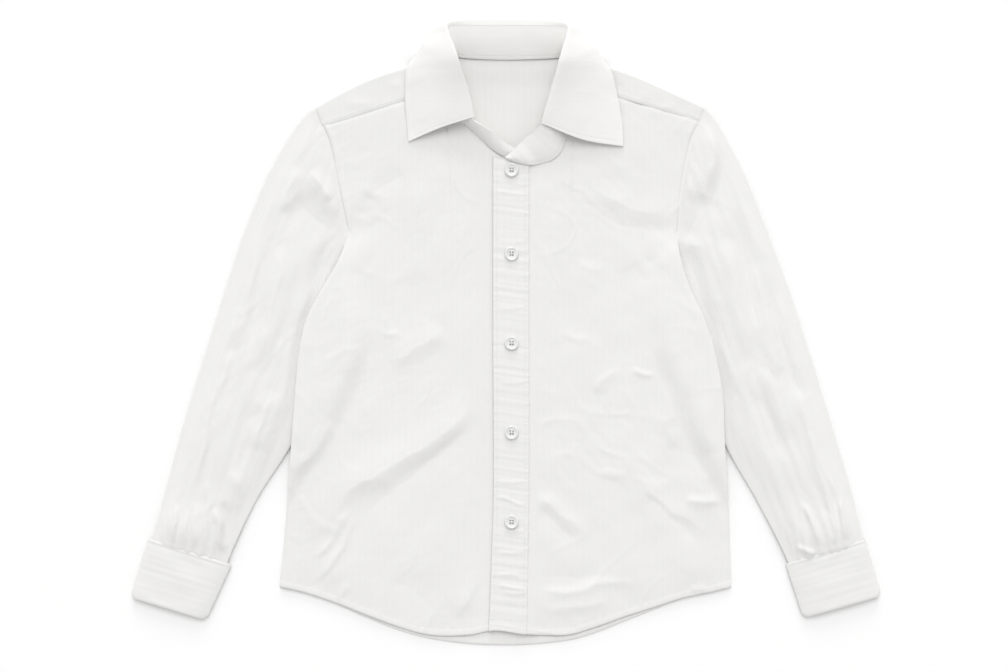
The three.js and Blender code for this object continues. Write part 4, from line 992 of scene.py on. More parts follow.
def strip_point(t, v):
    """A point of the strip under the placket: t from its free to its sewn edge, v up it."""
    hem_y = front_hem_y(lerp(PLACKET_ROWS[0][1], PLACKET_ROWS[0][2], t))
    y = lerp(hem_y, lerp(PLACKET_TOP_RIGHT_Y, PLACKET_TOP_LEFT_Y, t), v)
    return xy(lerp(placket_free_x(y), placket_sewn_x(y), t), y)


def add_left_front():
    """The wearer's left front, with the strip of it that lies under the placket."""
    neck_share = 5 / 12
    arm_x, arm_y, neck_x, neck_y = YOKE_SEAM["left"]
    sewn_top = (float(placket_sewn_x(PLACKET_TOP_LEFT_Y)), PLACKET_TOP_LEFT_Y)
    neck = through_points([sewn_top, *reversed(NECK_LEFT), (neck_x, neck_y)])

    def top(u):
        t = clamp01((u - neck_share) / (1 - neck_share))
        on_seam = xy(lerp(neck_x, arm_x, t), lerp(neck_y, arm_y, t))
        return np.where((u <= neck_share)[..., None], neck(u / neck_share), on_seam)

    def hem(u):
        x = lerp(PLACKET_ROWS[0][2], SIDE_ROWS[0][2], u)
        return xy(x, front_hem_y(x))

    def top_of(x, y):
        return front_top("left", x, y)
    side = side_edge("left", front_hem_y(SIDE_ROWS[0][2]), arm_y, FRONT_SPLIT)
    panel_patch = coons_patch(hem, top, lambda v: strip_point(1.0, v), side)
    strip_share = 0.12

    def patch(u, v):
        on_strip = strip_point(clamp01(u / strip_share), v)
        on_panel = panel_patch(clamp01((u - strip_share) / (1 - strip_share)), v)
        return np.where((u <= strip_share)[..., None], on_strip, on_panel)
    strip_steps = np.linspace(0, strip_share, 9)[:-1]
    panel_steps = strip_share + (1 - strip_share) * steps(168, 1.5, (0, 1), (6, 1.0))
    u_steps = np.concatenate([strip_steps, panel_steps])
    sew_hem(np.arange(22, 182, 1.0), front_hem_y, top_of)
    return panel("front_left_cloth", patch, top_of, u_steps, FRONT_V_STEPS)


def placket_share(x, y):
    """0 at the placket's free edge, 1 at its sewn edge."""
    return (x - placket_free_x(y)) / (placket_sewn_x(y) - placket_free_x(y))


def placket_top(x, y):
    """Top of the placket, puckered across by its stitching."""
    share = placket_share(x, y)
    free_edge = share * PLACKET_WIDTH
    sewn_edge = (1 - share) * PLACKET_WIDTH
    stitch_dips = (-PLACKET["stitch_dip"] * bump((free_edge - PLACKET_STITCH) / 1.2)
                   - PLACKET["stitch_dip"] * bump((sewn_edge - PLACKET_STITCH) / 1.2))
    pull = 0.55 + 0.45 * ripples(x * 0, y, 43, size=60, heading=90, spread=1, waves=6)
    slanted_y = y + 3 * smooth(share)
    waves = ripples(x * 0.12, slanted_y, 47, size=7.5, heading=0, spread=3)
    pucker = PLACKET["pucker"] * pull * waves
    uneven_wave = np.sin(2 * math.pi * y / 3.7 + 2 * np.sin(y / 11))
    beside_edges = bump((free_edge - 1.6) / 2.6) + bump((sewn_edge - 1.6) / 2.6)
    at_edges = PLACKET["edge_pucker"] * uneven_wave * beside_edges
    edges = curl(free_edge, *PLACKET_FREE_CURL) + curl(sewn_edge, *PLACKET_SEWN_CURL)
    hem = 0.7 * hem_band((y - front_hem_y(x)) * 0.98, x)
    around_buttons = 0
    for button_y in button_rows():
        distance = np.hypot(x - BUTTON_X, y - button_y)
        pressed = PLACKET["under_button"] * np.exp(-(distance / 9) ** 4)
        around_buttons = around_buttons - pressed
    free = smooth((y + 246) / 6)
    return (placket_rest(x, y) + stitch_dips + (pucker + at_edges) * free + edges + hem + around_buttons
            + crease_relief(CREASES_PLACKET, x, y))


def button_rows():
    """Where the buttons sit, from the neck down."""
    return [BUTTON_TOP_Y] + [BUTTON_SECOND_Y - k * BUTTON_PITCH for k in range(BUTTON_COUNT - 1)]


def add_placket():
    """The placket, stitched along both long edges and across above its hem."""
    u_steps = steps(PLACKET_WIDTH, 0.9, (4.6, 0.6), (4.6, 0.6))
    v_steps = steps(388, 1.05, (7, 0.7), (0, 1))
    stitch_share = PLACKET_STITCH / PLACKET_WIDTH
    for share in (stitch_share, 1 - stitch_share):
        x, y = strip_point(share, np.linspace(0.016, 0.995, 400)).T
        sew(xyz(x, y, placket_top(x, y)))
    x, hem_y = strip_point(np.linspace(0.04, 0.96, 40), 0.0).T
    y = hem_y + HEM_BAND + 4
    sew(xyz(x, y, placket_top(x, y)))
    return panel("placket_cloth", strip_point, placket_top, u_steps, v_steps, PLACKET_SHELL)


# ---------------------------------------------------------------- sleeves and cuffs

# the heading of each sleeve's folds, and what is added to the seeds of its side
SLEEVES = {
    "right": {"creases": CREASES_RIGHT_SLEEVE, "heading": 71, "seed": 0},
    "left": {"creases": CREASES_LEFT_SLEEVE, "heading": 109, "seed": 10},
}
SLEEVE_LENGTH = 350
SLEEVE_CREASES = 1.5      # times the crease tables' relief
SLEEVE_PUFF = 3.3         # how far the middle of a sleeve stands up from its edges
GATHER_PUFF = 1.1         # and how much further just above the cuff
LONG_FOLDS = 0.2
GATHERS = 0.42
UNDERARM_TUCK = 7.0       # how far the sleeve runs in under the body just below the underarm
CUFF_LENGTH = 54
CUFF_WIDTH = 66
CUFF_STITCH = 3.4         # from the cuff's turned-up edge to its stitching
CUFF_RING = (0.9, 0.5)    # powers that flatten the ring of a cuff, across and in height
# how much of its height a cuff loses towards the body, and over what width
CUFF_FALL = {"right": (0.96, 11), "left": (0.96, 19)}


def inset_across(at, across, inset):
    """A point across a patch whose two edges are moved in by inset."""
    start = at(np.zeros(()))
    end = at(np.ones(()))
    width = np.hypot(end[..., 0] - start[..., 0], end[..., 1] - start[..., 1])
    share = inset / width
    return at(lerp(share, 1 - share, across))


def cuff_point(side, u, v):
    """A point of the cuff laid flat: u across it from the outer edge, v from its top down."""
    top_out, top_in, end_out, end_in = (np.array(corner) for corner in CUFF[side])
    u = np.asarray(u, float)[..., None]
    v = np.asarray(v, float)[..., None]
    return lerp(lerp(top_out, end_out, v), lerp(top_in, end_in, v), u)


def cuff_share(side, distance):
    """The share of a cuff's length that a distance along it is."""
    top_out, _, end_out, _ = CUFF[side]
    return distance / math.hypot(end_out[0] - top_out[0], end_out[1] - top_out[1])


def ring_angles(over, below):
    """Angles round a flattened ring, closer together on the side that shows."""
    upper = np.linspace(0, math.pi, over, endpoint=False)
    lower = np.linspace(math.pi, 2 * math.pi, below, endpoint=False)
    return np.concatenate([upper, lower])


def ring_step(angle, across_power, height_power):
    """0..1 across a flattened ring, and -1..1 below and above."""
    across = np.sign(np.cos(angle)) * np.abs(np.cos(angle)) ** across_power
    height = np.sign(np.sin(angle)) * np.abs(np.sin(angle)) ** height_power
    return (1 - across) / 2, height


def sleeve_patch(side):
    """A sleeve laid flat, from the armhole to the wrist inside the cuff, and its thickness."""
    table = SLEEVE_ROWS[side]
    tip_y = 184.2
    inside_cuff = 0.045
    lip = cuff_share(side, CUFF_LIP)

    def wrist(u):
        return cuff_point(side, lerp(inside_cuff, 1 - inside_cuff, u), lip)

    def armhole(u):
        y = lerp(tip_y, UNDERARM_Y + 0.4, u)
        return xy(armhole_x[side](y) + OUTWARD[side] * (SEAM_GAP + CHORD_ROOM), y)
    outer = through_points([armhole(0.0), *(row[0:2] for row in table), wrist(0.0)])
    inner = through_points([armhole(1.0), *(row[2:4] for row in table), wrist(1.0)])
    thick = through_points([(3.6,), *((row[4],) for row in table), (2.8,)])
    return coons_patch(armhole, wrist, outer, inner), thick


def sleeve_ring(angle):
    """The ring round a sleeve: blunt at its outer edge, sharp where it runs in."""
    return ring_step(angle, 0.95, np.where(np.cos(angle) > 0, 0.5, 0.95))


def sleeve_puff(across, v):
    """How far the laid tube stands up between its edges, and at the gathers of the cuff."""
    puff = SLEEVE_PUFF * smooth(across / 0.15) * smooth((0.96 - across) / 0.3)
    puff = puff * smooth(v / 0.14) * smooth((1 - v) / 0.12)
    gathered = smooth((v - 0.82) / 0.1) * smooth((0.972 - v) / 0.02)
    return puff + GATHER_PUFF * gathered * smooth(6 * across * (1 - across))


def sleeve_wrinkles(side, x, y, v):
    """Creases, long folds down the sleeve and the gathers that run into the cuff."""
    heading = SLEEVES[side]["heading"]
    seed = SLEEVES[side]["seed"]
    gather_heading = (heading + 90) / 2 - 6 * OUTWARD[side]
    creases = SLEEVE_CREASES * crease_relief(SLEEVES[side]["creases"], x, y)
    loose = creases + small_wrinkles(x, y, 51 + seed, heading)
    long_folds = LONG_FOLDS * ripples(x, y, 57 + seed, size=13, heading=heading, spread=5)
    gathers = GATHERS * ripples(x, y, 71, size=9, heading=gather_heading, spread=6)
    return loose + long_folds + gathers * smooth((v - 0.76) / 0.16)


def add_sleeve(side):
    """A flattened tube that runs in under the body at one edge and into the cuff below."""
    patch, thick = sleeve_patch(side)
    outward = OUTWARD[side]
    angle, v = grid(ring_angles(104, 24), steps(SLEEVE_LENGTH, 1.7, (4, 1), (12, 1.2)))
    cuff_rise = CUFF_OUTER_WALL + 0.35

    across, up = sleeve_ring(angle)

    def face(inset):
        """The outer face of the sleeve's wall, or the inner one at its thickness."""
        plan = inset_across(lambda u: patch(np.broadcast_to(u, v.shape), v), across, inset)
        tuck = UNDERARM_TUCK * smooth(2 * across - 1) * smooth(v / 0.03) * smooth((0.42 - v) / 0.14)
        x, y = plan[..., 0] - outward * tuck, plan[..., 1]
        half = thick(v)[..., 0] / 2
        base = cuff_rise * smooth((v - 0.8) / 0.1)
        puff = sleeve_puff(across, v)
        room = np.maximum(0, 2 * half - 2 * SHELL - LAYER_GAP) + puff
        middle = smooth(7 * across * (1 - across))
        beside_body = smooth(outward * (x - side_x[side](np.minimum(y, UNDERARM_Y))) / 9)
        fold = soft_floor(sleeve_wrinkles(side, x, y, v) * middle * beside_body, room)
        fold = (fold + puff * beside_body) * np.maximum(up, 0)
        z = base + half + up * (half - inset) + fold
        edge_x = np.where(y > UNDERARM_Y, armhole_x[side](y), side_x[side](y))
        under_seam = strip_top(x, y) - SHELL - 0.25 - inset
        tucked = np.where(up > 0, np.minimum(z, under_seam), z)
        return xyz(x, y, lerp(tucked, z, smooth((outward * (x - edge_x) - 0.8) / 4.5)))
    weave = xyz(across * 150 + (up < 0) * 200, v * SLEEVE_LENGTH, 0)[..., :2]
    return wall(f"sleeve_{side}_cloth", face(0), face(SHELL), weave, ring=True)


def rolled(share):
    """How far a rolled edge has dropped: 1 at the edge itself, 0 from a share of 1 on."""
    return 1 - np.sqrt(clamp01(share) * (2 - clamp01(share)))


def cuff_section(side):
    """v along the cuff and inset into it, round the section of a turned-up cuff."""
    lip = cuff_share(side, CUFF_LIP + 0.6)
    outside = [(v, 0.0) for v in steps(CUFF_LENGTH, 1.4, (5, 0.6), (8, 1.2)) if v < 0.95]
    turn = [
        (0.95 + 0.05 * math.sin(a), CUFF_WALL / 2 * (1 - math.cos(a)))
        for a in np.linspace(0, math.pi, 11)
    ]
    inside = [(v, CUFF_WALL) for v in np.linspace(0.92, lip, 12)]
    step_up = [
        (lip, CUFF_OUTER_WALL), (lip / 2, CUFF_OUTER_WALL),
        (0.012, CUFF_OUTER_WALL - 0.1), (0.0, 0.6),
    ]
    return np.array(outside + turn + inside + step_up)


def cuff_fall(side, from_inner):
    """The share of its height that a cuff keeps at a distance from its inner edge."""
    loss, width = CUFF_FALL[side]
    return 1 - loss * rolled(from_inner / width)


def sew_cuff(side):
    """Stitches across the side of the cuff that shows, just below its turned-up edge."""
    u = np.linspace(0.05, 0.95, 90)
    line = cuff_point(side, u, cuff_share(side, CUFF_STITCH))
    across_power, height_power = CUFF_RING
    angle = np.arccos(np.sign(1 - 2 * u) * np.abs(1 - 2 * u) ** (1 / across_power))
    fall = cuff_fall(side, (1 - u) * CUFF_WIDTH)
    height = CUFF_HEIGHT / 2 * (1 + np.sin(angle) ** height_power * fall) - 0.2 * fall
    sew(xyz(line[:, 0], line[:, 1], height))


def add_cuff(side):
    """A flattened tube, turned up once on itself."""
    section = cuff_section(side)
    angle, k = grid(ring_angles(120, 56), np.arange(len(section)))
    v, inset = section[k, 0], section[k, 1]
    across, up = ring_step(angle, *CUFF_RING)
    rounding = 2.2 * smooth((v - 0.9) / 0.1) * np.abs(2 * across - 1) ** 3

    def at(u):
        return cuff_point(side, np.broadcast_to(u, v.shape), v)
    plan = inset_across(at, across, inset + rounding)
    half = CUFF_HEIGHT / 2
    down = v * CUFF_LENGTH
    width = across * CUFF_WIDTH
    outside = (inset < 0.05) * np.maximum(up, 0)
    groove = -CUFF_RELIEF["groove"] * bump((down - CUFF_STITCH) / 1.2)
    ridge = CUFF_RELIEF["ridge"] * bump((down - 1.6) / 2.2)
    seed = SLEEVES[side]["seed"]
    grain = ripples(width * 0.35, down, 81 + seed, size=7, heading=0, spread=8)
    pull = ripples(width, down, 83 + seed, size=30, heading=15, spread=40)
    loose = CUFF_RELIEF["grain"] * grain + CUFF_RELIEF["pull"] * pull
    loose = loose * smooth((down - 3) / 6) * smooth((0.97 - v) / 0.1)
    relief = (groove + ridge + loose) * outside
    edge = -0.5 * smooth(1 - down / 0.9) * outside
    fall = np.where(up > 0, cuff_fall(side, (1 - across) * CUFF_WIDTH), 1)
    z = half + up * (half - inset) * fall + (relief + edge) * fall
    points = np.concatenate([plan, z[..., None]], -1)
    sew_cuff(side)
    weave = xyz(down + (up < 0) * 100, width, 0)[..., :2]
    return loop_ring(f"cuff_{side}_cloth", points, weave)


# ---------------------------------------------------------------- collar

# the smooth top of everything that the stand is sewn to
TOP_OF = {
    "front_right": lambda x, y: right_front_rest(x, y)[0],
    "front_left": lambda x, y: left_front_rest(x, y)[0],
    "placket": placket_rest,
    "yoke": back_top,
    "yoke_strip": strip_top,
}


def stand_seam_line():
    """The lower edge of the stand, a seam's gap above the piece it is sewn to."""
    points = []
    for x, y, sewn_to, top_x, top_y, top_z in STAND_ROWS:
        below = float(TOP_OF[sewn_to](x, y))
        plan = math.hypot(top_x - x, top_y - y)
        flatness = plan / math.hypot(plan, top_z - below)
        points.append((x, y, below + SEAM_GAP + CHORD_ROOM + flatness * STAND_WALL / 2))
    return through_points(points)


stand_seam = stand_seam_line()
stand_top = through_points([row[3:6] for row in STAND_ROWS])
STAND_LAST = len(STAND_ROWS) - 1
STAND_LENGTH = 330
STAND_BOW = 1.2           # how far the middle of the stand's width bows out
LEAF_LENGTH = 360
LEAF_DEPTH = 66
LEAF_STITCH = 5.0         # from the leaf's edge to its stitching


def two_faces(middle, thickness, wave):
    """The outer and inner points of a wall round its middle, both moved out by a wave."""
    normal = grid_normals(middle)
    outer = middle + normal * (thickness / 2 + wave)[..., None]
    inner = middle - normal * (thickness / 2 - wave)[..., None]
    return outer, inner


def sew_stand():
    """Stitches just above the neck seam, on both faces of the stand."""
    t = np.linspace(0.012, 0.99, 300)
    low = lerp(stand_seam(t), stand_top(t), 0.1)
    high = lerp(stand_seam(t), stand_top(t), 0.2)
    out = np.cross(np.gradient(low, axis=0), high - low)
    out /= np.linalg.norm(out, axis=1, keepdims=True)
    low[:, 2] += STAND_BOW * math.sin(math.pi * 0.1)
    for sign in (1, -1):
        sew(low + sign * out * 0.44)


def add_collar_stand():
    """The band round the neck, from the neck seam to its top edge."""
    t, s = grid(steps(STAND_LENGTH, 0.9), 1.1 * steps(26, 1.6, (4, 0.7), (3, 0.8)) - 0.025)
    seam = stand_seam(t)
    top = stand_top(t)
    middle = lerp(seam, top, s[..., None])
    middle[..., 2] += STAND_BOW * np.sin(math.pi * s)
    above_seam = s * np.linalg.norm(top - seam, axis=-1)
    along = t * STAND_LENGTH
    pucker = 0.16 * ripples(along, above_seam * 0.4, 101, size=15, heading=90, spread=14)
    thickness = 1.1 - 0.35 * bump((above_seam - 2.0) / 1.2) - 0.5 * smooth(1 - above_seam)
    outer, inner = two_faces(middle, thickness, pucker * np.sin(math.pi * s))
    weave = xyz(above_seam, along, 0)[..., :2]
    sew_stand()
    return wall("collar_stand_cloth", outer, inner, weave)


def add_collar_leaf():
    """The leaf: up from the stand's top edge, over its roll line and down to its edge."""
    first, last = LEAF_ROWS[0][0], LEAF_ROWS[-1][0]
    lines = [through_points([row[k:k + 3] for row in LEAF_ROWS]) for k in (1, 4, 7)]
    t_steps = steps(LEAF_LENGTH, 1.25, (8, 0.8), (8, 0.8))
    t, s = grid(t_steps, steps(LEAF_DEPTH, 1.4, (2, 1), (8, 0.8)))
    on_stand = lerp(first, last, t) / STAND_LAST
    seam = stand_seam(on_stand)
    top = stand_top(on_stand)
    up = (top - seam) / np.linalg.norm(top - seam, axis=-1, keepdims=True)
    controls = np.stack([top + up * LEAF_START, *(line(t) for line in lines)])
    at = s * 3
    k = np.minimum(at.astype(int), 2)

    def control(index):
        index = np.clip(index, 0, 3)[None, ..., None]
        index = np.broadcast_to(index, (1, *controls.shape[1:]))
        return np.take_along_axis(controls, index, 0)[0]
    p0, p1, p2, p3 = (control(k + offset) for offset in (-1, 0, 1, 2))
    middle = hermite(p1, p2, (p2 - p0) / 2, (p3 - p1) / 2, (at - k)[..., None])
    travelled = np.concatenate([
        np.zeros((len(t), 1)),
        np.cumsum(np.linalg.norm(np.diff(middle, axis=1), axis=-1), axis=1),
    ], axis=1)
    from_edge = travelled[:, -1:] - travelled
    from_end = np.minimum(t, 1 - t) * LEAF_LENGTH
    near = np.minimum(from_edge, from_end)
    pinch = 0.34 * bump((near - LEAF_STITCH) / 1.1) + 0.5 * smooth(1 - near / 0.9)
    wave = 0.22 * ripples(middle[..., 0], middle[..., 1], 111, size=42, heading=80, spread=40)
    outer, inner = two_faces(middle, 1.15 - pinch, wave * smooth(s * 3 - 0.9))
    outer_is_up = outer[len(t) // 2, -8, 2] > inner[len(t) // 2, -8, 2]
    sew_leaf(outer if outer_is_up else inner, from_edge, from_end[:, 0])
    weave = xyz(t * LEAF_LENGTH, travelled, 0)[..., :2]
    return wall("collar_leaf_cloth", outer, inner, weave)


def sew_leaf(face, from_edge, from_end):
    """Stitches round the leaf's outer edge and down both of its front edges."""
    row = np.argmin(np.abs(from_edge - LEAF_STITCH), axis=1)
    outer_line = face[np.arange(len(face)), row]
    sew(outer_line[from_end >= LEAF_STITCH])
    half = len(face) // 2
    off_line = np.abs(from_end - LEAF_STITCH)
    for column in (np.argmin(off_line[:half]), half + np.argmin(off_line[half:])):
        rows = np.nonzero(from_edge[column] >= LEAF_STITCH)[0]
        sew(face[column, rows[4:]])


# ---------------------------------------------------------------- buttons


def add_button(name, x, y):
    """A four-hole button turned from a profile, its holes cut through."""
    radius = BUTTON["diameter"] / 2
    thickness = BUTTON["thickness"]
    dish = BUTTON["dish"]
    rim = BUTTON["rim"]
    profile = np.array([
        (0.01, 0), (radius - 0.9, 0), (radius - 0.3, 0.25), (radius, 0.9),
        (radius, thickness - 0.9), (radius - 0.25, thickness - 0.3), (radius - 0.75, thickness),
        (radius - rim + 0.1, thickness - 0.04), (radius - rim - 0.35, thickness - 0.35),
        (radius - rim - 0.9, thickness - dish), (0.01, thickness - dish),
    ])
    around = 64
    angle = np.linspace(0, 2 * math.pi, around, endpoint=False)[:, None]
    r, z = profile.T
    base = float(placket_top(x, y)) + SEAM_GAP
    points = xyz(r * np.cos(angle), r * np.sin(angle), z).reshape(-1, 3)
    rows = len(profile)
    i, j = (part.ravel() for part in grid(np.arange(around), np.arange(rows - 1)))
    after = (i + 1) % around
    sides = [i * rows + j, after * rows + j, after * rows + j + 1, i * rows + j + 1]
    faces = np.stack(sides, -1).tolist()
    faces.append([k * rows for k in range(around)][::-1])
    faces.append([k * rows + rows - 1 for k in range(around)])
    button = new_piece(name, points + np.array([x, y, base]), faces)
    for hole_x, hole_y in button_holes(x, y):
        bpy.ops.mesh.primitive_cylinder_add(
            vertices=20, radius=BUTTON["hole"] / 2 * MM, depth=8 * MM,
            location=(hole_x * MM, hole_y * MM, base * MM))
        cutter = bpy.context.object
        cut = button.modifiers.new("hole", "BOOLEAN")
        cut.operation = "DIFFERENCE"
        cut.solver = "EXACT"
        cut.object = cutter
        apply_modifiers(button)
        bpy.data.objects.remove(cutter, do_unlink=True)
    button.data.shade_smooth()
    button.data.set_sharp_from_angle(angle=math.radians(BUTTON_SHARP_ANGLE))
    return button


def apply_modifiers(piece):
    """Keeps the mesh that a piece's modifiers make, and drops the modifiers."""
    shown = piece.evaluated_get(bpy.context.evaluated_depsgraph_get())
    mesh = bpy.data.meshes.new_from_object(shown)
    piece.modifiers.clear()
    piece.data = mesh


def button_holes(x, y):
    """The middles of a button's four holes, in turn round it."""
    reach = BUTTON["spread"] / 2
    angles = [math.pi / 4 + k * math.pi / 2 for k in range(4)]
    return [(x + reach * math.cos(a), y + reach * math.sin(a)) for a in angles]


THREAD = {"radius": 0.24, "apart": 0.44, "sides": 6, "rings": 9}


def thread_points(start, end, offset, top):
    """Rings of points along a thread that arches over a button from hole to hole."""
    start = np.array(start)
    way = np.array(end) - start
    across = np.array([-way[1], way[0]]) / np.linalg.norm(way)
    points = []
    for t in np.linspace(0, 1, THREAD["rings"]):
        plan = start + way * t + across * offset
        height = top - 0.9 + 1.5 * math.sin(math.pi * t) ** 0.4
        for k in range(THREAD["sides"]):
            a = 2 * math.pi * k / THREAD["sides"]
            side = plan + across * THREAD["radius"] * math.cos(a)
            points.append((side[0], side[1], height + THREAD["radius"] * math.sin(a)))
    return points


def thread_faces(first):
    """The side and the two ends of a thread whose points start at an index."""
    sides, rings = THREAD["sides"], THREAD["rings"]
    faces = []
    for ring in range(rings - 1):
        for k in range(sides):
            a = first + ring * sides + k
            b = first + ring * sides + (k + 1) % sides
            faces.append((a, b, b + sides, a + sides))
    faces.append([first + k for k in range(sides)][::-1])
    faces.append([first + (rings - 1) * sides + k for k in range(sides)])
    return faces


def add_threads():
    """The sewing thread of every button: two crossed pairs of threads over its holes."""
    points = []
    faces = []
    for y in button_rows():
        top = float(placket_top(BUTTON_X, y)) + SEAM_GAP + BUTTON["thickness"] - BUTTON["dish"]
        holes = button_holes(BUTTON_X, y)
        for start, end in ((holes[0], holes[2]), (holes[1], holes[3])):
            for offset in (-THREAD["apart"] / 2, THREAD["apart"] / 2):
                faces.extend(thread_faces(len(points)))
                points.extend(thread_points(start, end, offset, top))
    piece = new_piece("button_threads", np.array(points), faces)
    piece.data.shade_smooth()
    return piece


# ---------------------------------------------------------------- materials


class Nodes:
    """A short way to write a material's node tree."""

    def __init__(self, name):
        self.material = bpy.data.materials.new(name)
        self.material.use_nodes = True
        self.tree = self.material.node_tree
        self.shader = self.tree.nodes["Principled BSDF"]

    def add(self, kind, **settings):
        node = self.tree.nodes.new(kind)
        for key, value in settings.items():
            setattr(node, key, value)
        return node

    def link(self, source, target):
        self.tree.links.new(source, target)

    def object_place(self):
        return self.add("ShaderNodeTexCoord").outputs["Object"]

    def noise(self, vector, kind="FBM", **sockets):
        """A noise texture's value; its constants are given by the names of their sockets."""
        node = self.add("ShaderNodeTexNoise", noise_type=kind)
        for name, value in sockets.items():
            node.inputs[name].default_value = value
        self.link(vector, node.inputs["Vector"])
        return node.outputs["Fac"]

    def maths(self, operation, *values):
        """A sum, a product and so on, of other outputs and of constants."""
        node = self.add("ShaderNodeMath", operation=operation)
        for socket, value in zip(node.inputs, values):
            if isinstance(value, (int, float)):
                socket.default_value = value
            else:
                self.link(value, socket)
        return node.outputs[0]

    def wave(self, along, pitch):
        return self.maths("SINE", self.maths("MULTIPLY", along, 2 * math.pi / pitch))

    def weighted(self, *terms):
        """The sum of outputs, each times its weight."""
        total = None
        for value, weight in terms:
            term = self.maths("MULTIPLY", value, weight)
            total = term if total is None else self.maths("ADD", total, term)
        return total

    def ramp(self, factor, low, high, colour_low, colour_high):
        node = self.add("ShaderNodeValToRGB")
        node.color_ramp.elements[0].position = low
        node.color_ramp.elements[0].color = (*colour_low, 1)
        node.color_ramp.elements[1].position = high
        node.color_ramp.elements[1].color = (*colour_high, 1)
        self.link(factor, node.inputs["Fac"])
        return node.outputs["Color"]

    def bumped(self, height, distance, strength, over=None):
        node = self.add("ShaderNodeBump")
        if over is not None:
            self.link(over, node.inputs["Normal"])
        node.inputs["Distance"].default_value = distance
        node.inputs["Strength"].default_value = strength
        self.link(height, node.inputs["Height"])
        self.link(node.outputs["Normal"], self.shader.inputs["Normal"])
        return node.outputs["Normal"]

    def finish(self, colour, sockets):
        """Links the colour and sets the shader's constants, by the names of their sockets."""
        self.link(colour, self.shader.inputs["Base Color"])
        for name, value in sockets.items():
            self.shader.inputs[name].default_value = value
        return self.material


STRIPE_PITCH = 5.4 * MM   # the shirting's woven self-stripe
PIN_PITCH = STRIPE_PITCH / 3
THREAD_PITCH = 0.42 * MM


def shirting(name, tone, stripe):
    """White cotton with a faint self-stripe, a plain weave and a little unevenness."""
    m = Nodes(name)
    coordinates = m.add("ShaderNodeUVMap", uv_map="weave").outputs["UV"]
    parts = m.add("ShaderNodeSeparateXYZ")
    m.link(coordinates, parts.inputs[0])
    across = parts.outputs["X"]
    along = parts.outputs["Y"]
    stripe_wave = m.wave(across, STRIPE_PITCH)
    pin_wave = m.wave(across, PIN_PITCH)
    threads = m.maths("MULTIPLY", m.wave(across, THREAD_PITCH), m.wave(along, THREAD_PITCH))
    stretched = m.add("ShaderNodeCombineXYZ")
    m.link(across, stretched.inputs["X"])
    m.link(m.maths("MULTIPLY", along, 0.08), stretched.inputs["Y"])
    slubs = m.noise(stretched.outputs[0], Scale=900, Detail=3.0)
    clouds = m.noise(coordinates, Scale=28, Detail=4.0)
    mixed = m.weighted(
        (stripe_wave, 0.05 * stripe), (pin_wave, 0.06 * stripe), (slubs, 0.5), (clouds, 0.5))
    dark = [channel * 0.945 for channel in tone]
    crumple = m.noise(coordinates, "RIDGED_MULTIFRACTAL", Scale=34, Detail=4.0, Roughness=0.6,
                      Lacunarity=2.1, Distortion=0.4)
    height = m.weighted((slubs, 0.9), (stripe_wave, 0.35 * stripe), (threads, 0.3))
    laid = m.bumped(crumple, 1.2 * MM, 0.5)
    m.bumped(height, 0.06 * MM, 0.7, over=laid)
    return m.finish(m.ramp(mixed, 0.15, 0.85, dark, tone), {
        "Roughness": 0.82, "Specular IOR Level": 0.25,
        "Sheen Weight": 0.03, "Sheen Roughness": 0.5,
    })


def button_plastic():
    """Off-white plastic, a little cloudy and glossy."""
    m = Nodes("button_plastic")
    place = m.object_place()
    clouds = m.noise(place, Scale=260, Detail=2.0)
    m.bumped(m.noise(place, Scale=1800, Detail=2.0), 0.02 * MM, 0.4)
    colour = m.ramp(clouds, 0.3, 0.7, (0.74, 0.74, 0.72), (0.83, 0.83, 0.81))
    return m.finish(colour, {"Roughness": 0.28, "Coat Weight": 0.25})


def thread_cotton(name, tone):
    """Sewing thread, with painted shade in the hollows of its twist."""
    m = Nodes(name)
    twist = m.noise(m.object_place(), Scale=2600, Detail=2.0)
    m.bumped(twist, 0.05 * MM, 0.6)
    # painted shade: the colour darkens where the twist's bump is low
    dark = [channel * 0.9 for channel in tone]
    return m.finish(m.ramp(twist, 0.3, 0.7, dark, tone), {"Roughness": 0.7})


def floor_paper():
    """The plain white ground of the photo."""
    m = Nodes("floor_paper")
    clouds = m.noise(m.object_place(), Scale=3, Detail=2.0)
    colour = m.ramp(clouds, 0.3, 0.7, (0.925, 0.925, 0.925), (0.935, 0.935, 0.935))
    return m.finish(colour, {"Roughness": 0.9})


# ---------------------------------------------------------------- the scene

CAMERA_HEIGHT = 2200
VIEW_CENTRE = (-1.2, -3.3)
VIEW_WIDTH = 826.6        # what the picture's width shows of the table
SENSOR = 36
SHIRTING_TONE = (0.822, 0.817, 0.802)
# the collar is cut from the same shirting; its lighter tone is painted light that offsets the shade on
# its stand
COLLAR_PAINTED_LIGHT_TONE = (0.871, 0.865, 0.847)
THREAD_TONE = (0.80, 0.80, 0.78)
SKY_STRENGTH = 0.665
# strength, degrees above the table, and how wide it looks in degrees
SUNS = {
    "key": (1.24, 57, 44),
    "low_light": (0.8, 18, 20),
}
# a spot for each sleeve, from above the other side: watts, metres and degrees
SLEEVE_LIGHT = {"power": 0.9, "x": 0.35, "y": 0.08, "height": 0.42, "cone": 23, "radius": 0.12}
SLEEVE_AIM = (0.25, 0.03)


def add_camera():
    """Straight down on the shirt, as in the photo."""
    data = bpy.data.cameras.new("camera")
    data.sensor_width = SENSOR
    data.lens = SENSOR * CAMERA_HEIGHT / VIEW_WIDTH
    data.dof.use_dof = False
    camera = placed("camera", data)
    camera.location = (VIEW_CENTRE[0] * MM, VIEW_CENTRE[1] * MM, CAMERA_HEIGHT * MM)
    bpy.context.scene.camera = camera


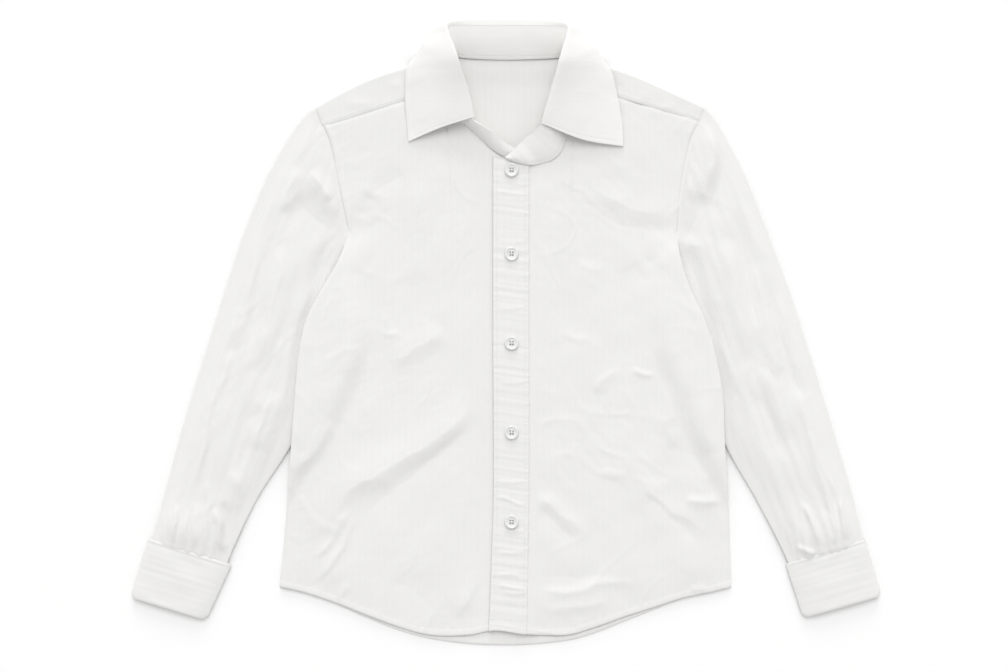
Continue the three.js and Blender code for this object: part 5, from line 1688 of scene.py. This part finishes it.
def add_light():
    """Even light from all round, a broad soft one from beyond the collar, a low one and one
    on each sleeve."""
    world = bpy.data.worlds.new("world")
    world.use_nodes = True
    background = world.node_tree.nodes["Background"]
    background.inputs["Color"].default_value = (1.0, 1.0, 0.997, 1)
    background.inputs["Strength"].default_value = SKY_STRENGTH
    bpy.context.scene.world = world
    bpy.context.scene.view_settings.view_transform = "Standard"
    for name, (strength, elevation, spread) in SUNS.items():
        data = bpy.data.lights.new(name, "SUN")
        data.energy = strength
        data.angle = math.radians(spread)
        sun = placed(name, data)
        sun.rotation_euler = (math.radians(elevation - 90), 0, 0)
    for way in OUTWARD.values():
        data = bpy.data.lights.new("sleeve_light", "SPOT")
        data.energy = SLEEVE_LIGHT["power"]
        data.spot_size = math.radians(SLEEVE_LIGHT["cone"])
        data.spot_blend = 1.0
        data.shadow_soft_size = SLEEVE_LIGHT["radius"]
        spot = placed("sleeve_light", data)
        spot.location = (-way * SLEEVE_LIGHT["x"], SLEEVE_LIGHT["y"], SLEEVE_LIGHT["height"])
        aim = Vector((way * SLEEVE_AIM[0], SLEEVE_AIM[1], 0)) - spot.location
        spot.rotation_mode = "QUATERNION"
        spot.rotation_quaternion = aim.to_track_quat("-Z", "Y")


def add_floor():
    """The ground under the shirt, as wide as the picture needs."""
    bpy.ops.mesh.primitive_plane_add(size=6, location=(0, 0, -0.4 * MM))
    floor = bpy.context.object
    floor.name = "floor"
    floor.data.materials.append(floor_paper())


def dress(piece, node, material):
    """Gives a piece its finish and makes it stand for its CAD node."""
    piece.data.materials.clear()
    piece.data.materials.append(material)
    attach(piece, "root")
    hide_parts(node)


def build():
    """Camera, lights, floor and all pieces; the pieces ride on the one rigid body."""
    add_camera()
    add_light()
    add_floor()
    body_cotton = shirting("shirting_striped", SHIRTING_TONE, 1.0)
    # a lighter copy of the shirting for the collar: painted light, not a different cloth
    collar_cotton_painted_light = shirting("shirting_collar_painted_light", COLLAR_PAINTED_LIGHT_TONE, 0.5)
    pieces = {
        "back_body": add_back(),
        "yoke": add_yoke(),
        "front_right": add_right_front(),
        "front_left": add_left_front(),
        "placket": add_placket(),
        "sleeve_right": add_sleeve("right"),
        "sleeve_left": add_sleeve("left"),
        "cuff_right": add_cuff("right"),
        "cuff_left": add_cuff("left"),
        "collar_stand": add_collar_stand(),
        "collar_leaf": add_collar_leaf(),
    }
    for node, piece in pieces.items():
        on_collar = node.startswith("collar")
        dress(piece, node, collar_cotton_painted_light if on_collar else body_cotton)
    plastic = button_plastic()
    for k, y in enumerate(button_rows()):
        button = add_button(f"button_{k + 1}_turned", BUTTON_X, y)
        dress(button, f"button_{k + 1}", plastic)
    threads = add_threads()
    threads.data.materials.append(thread_cotton("button_thread", THREAD_TONE))
    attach(threads, "root")
    stitches = add_stitches()
    stitches.data.materials.append(thread_cotton("stitch_thread", THREAD_TONE))
    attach(stitches, "root")


build()
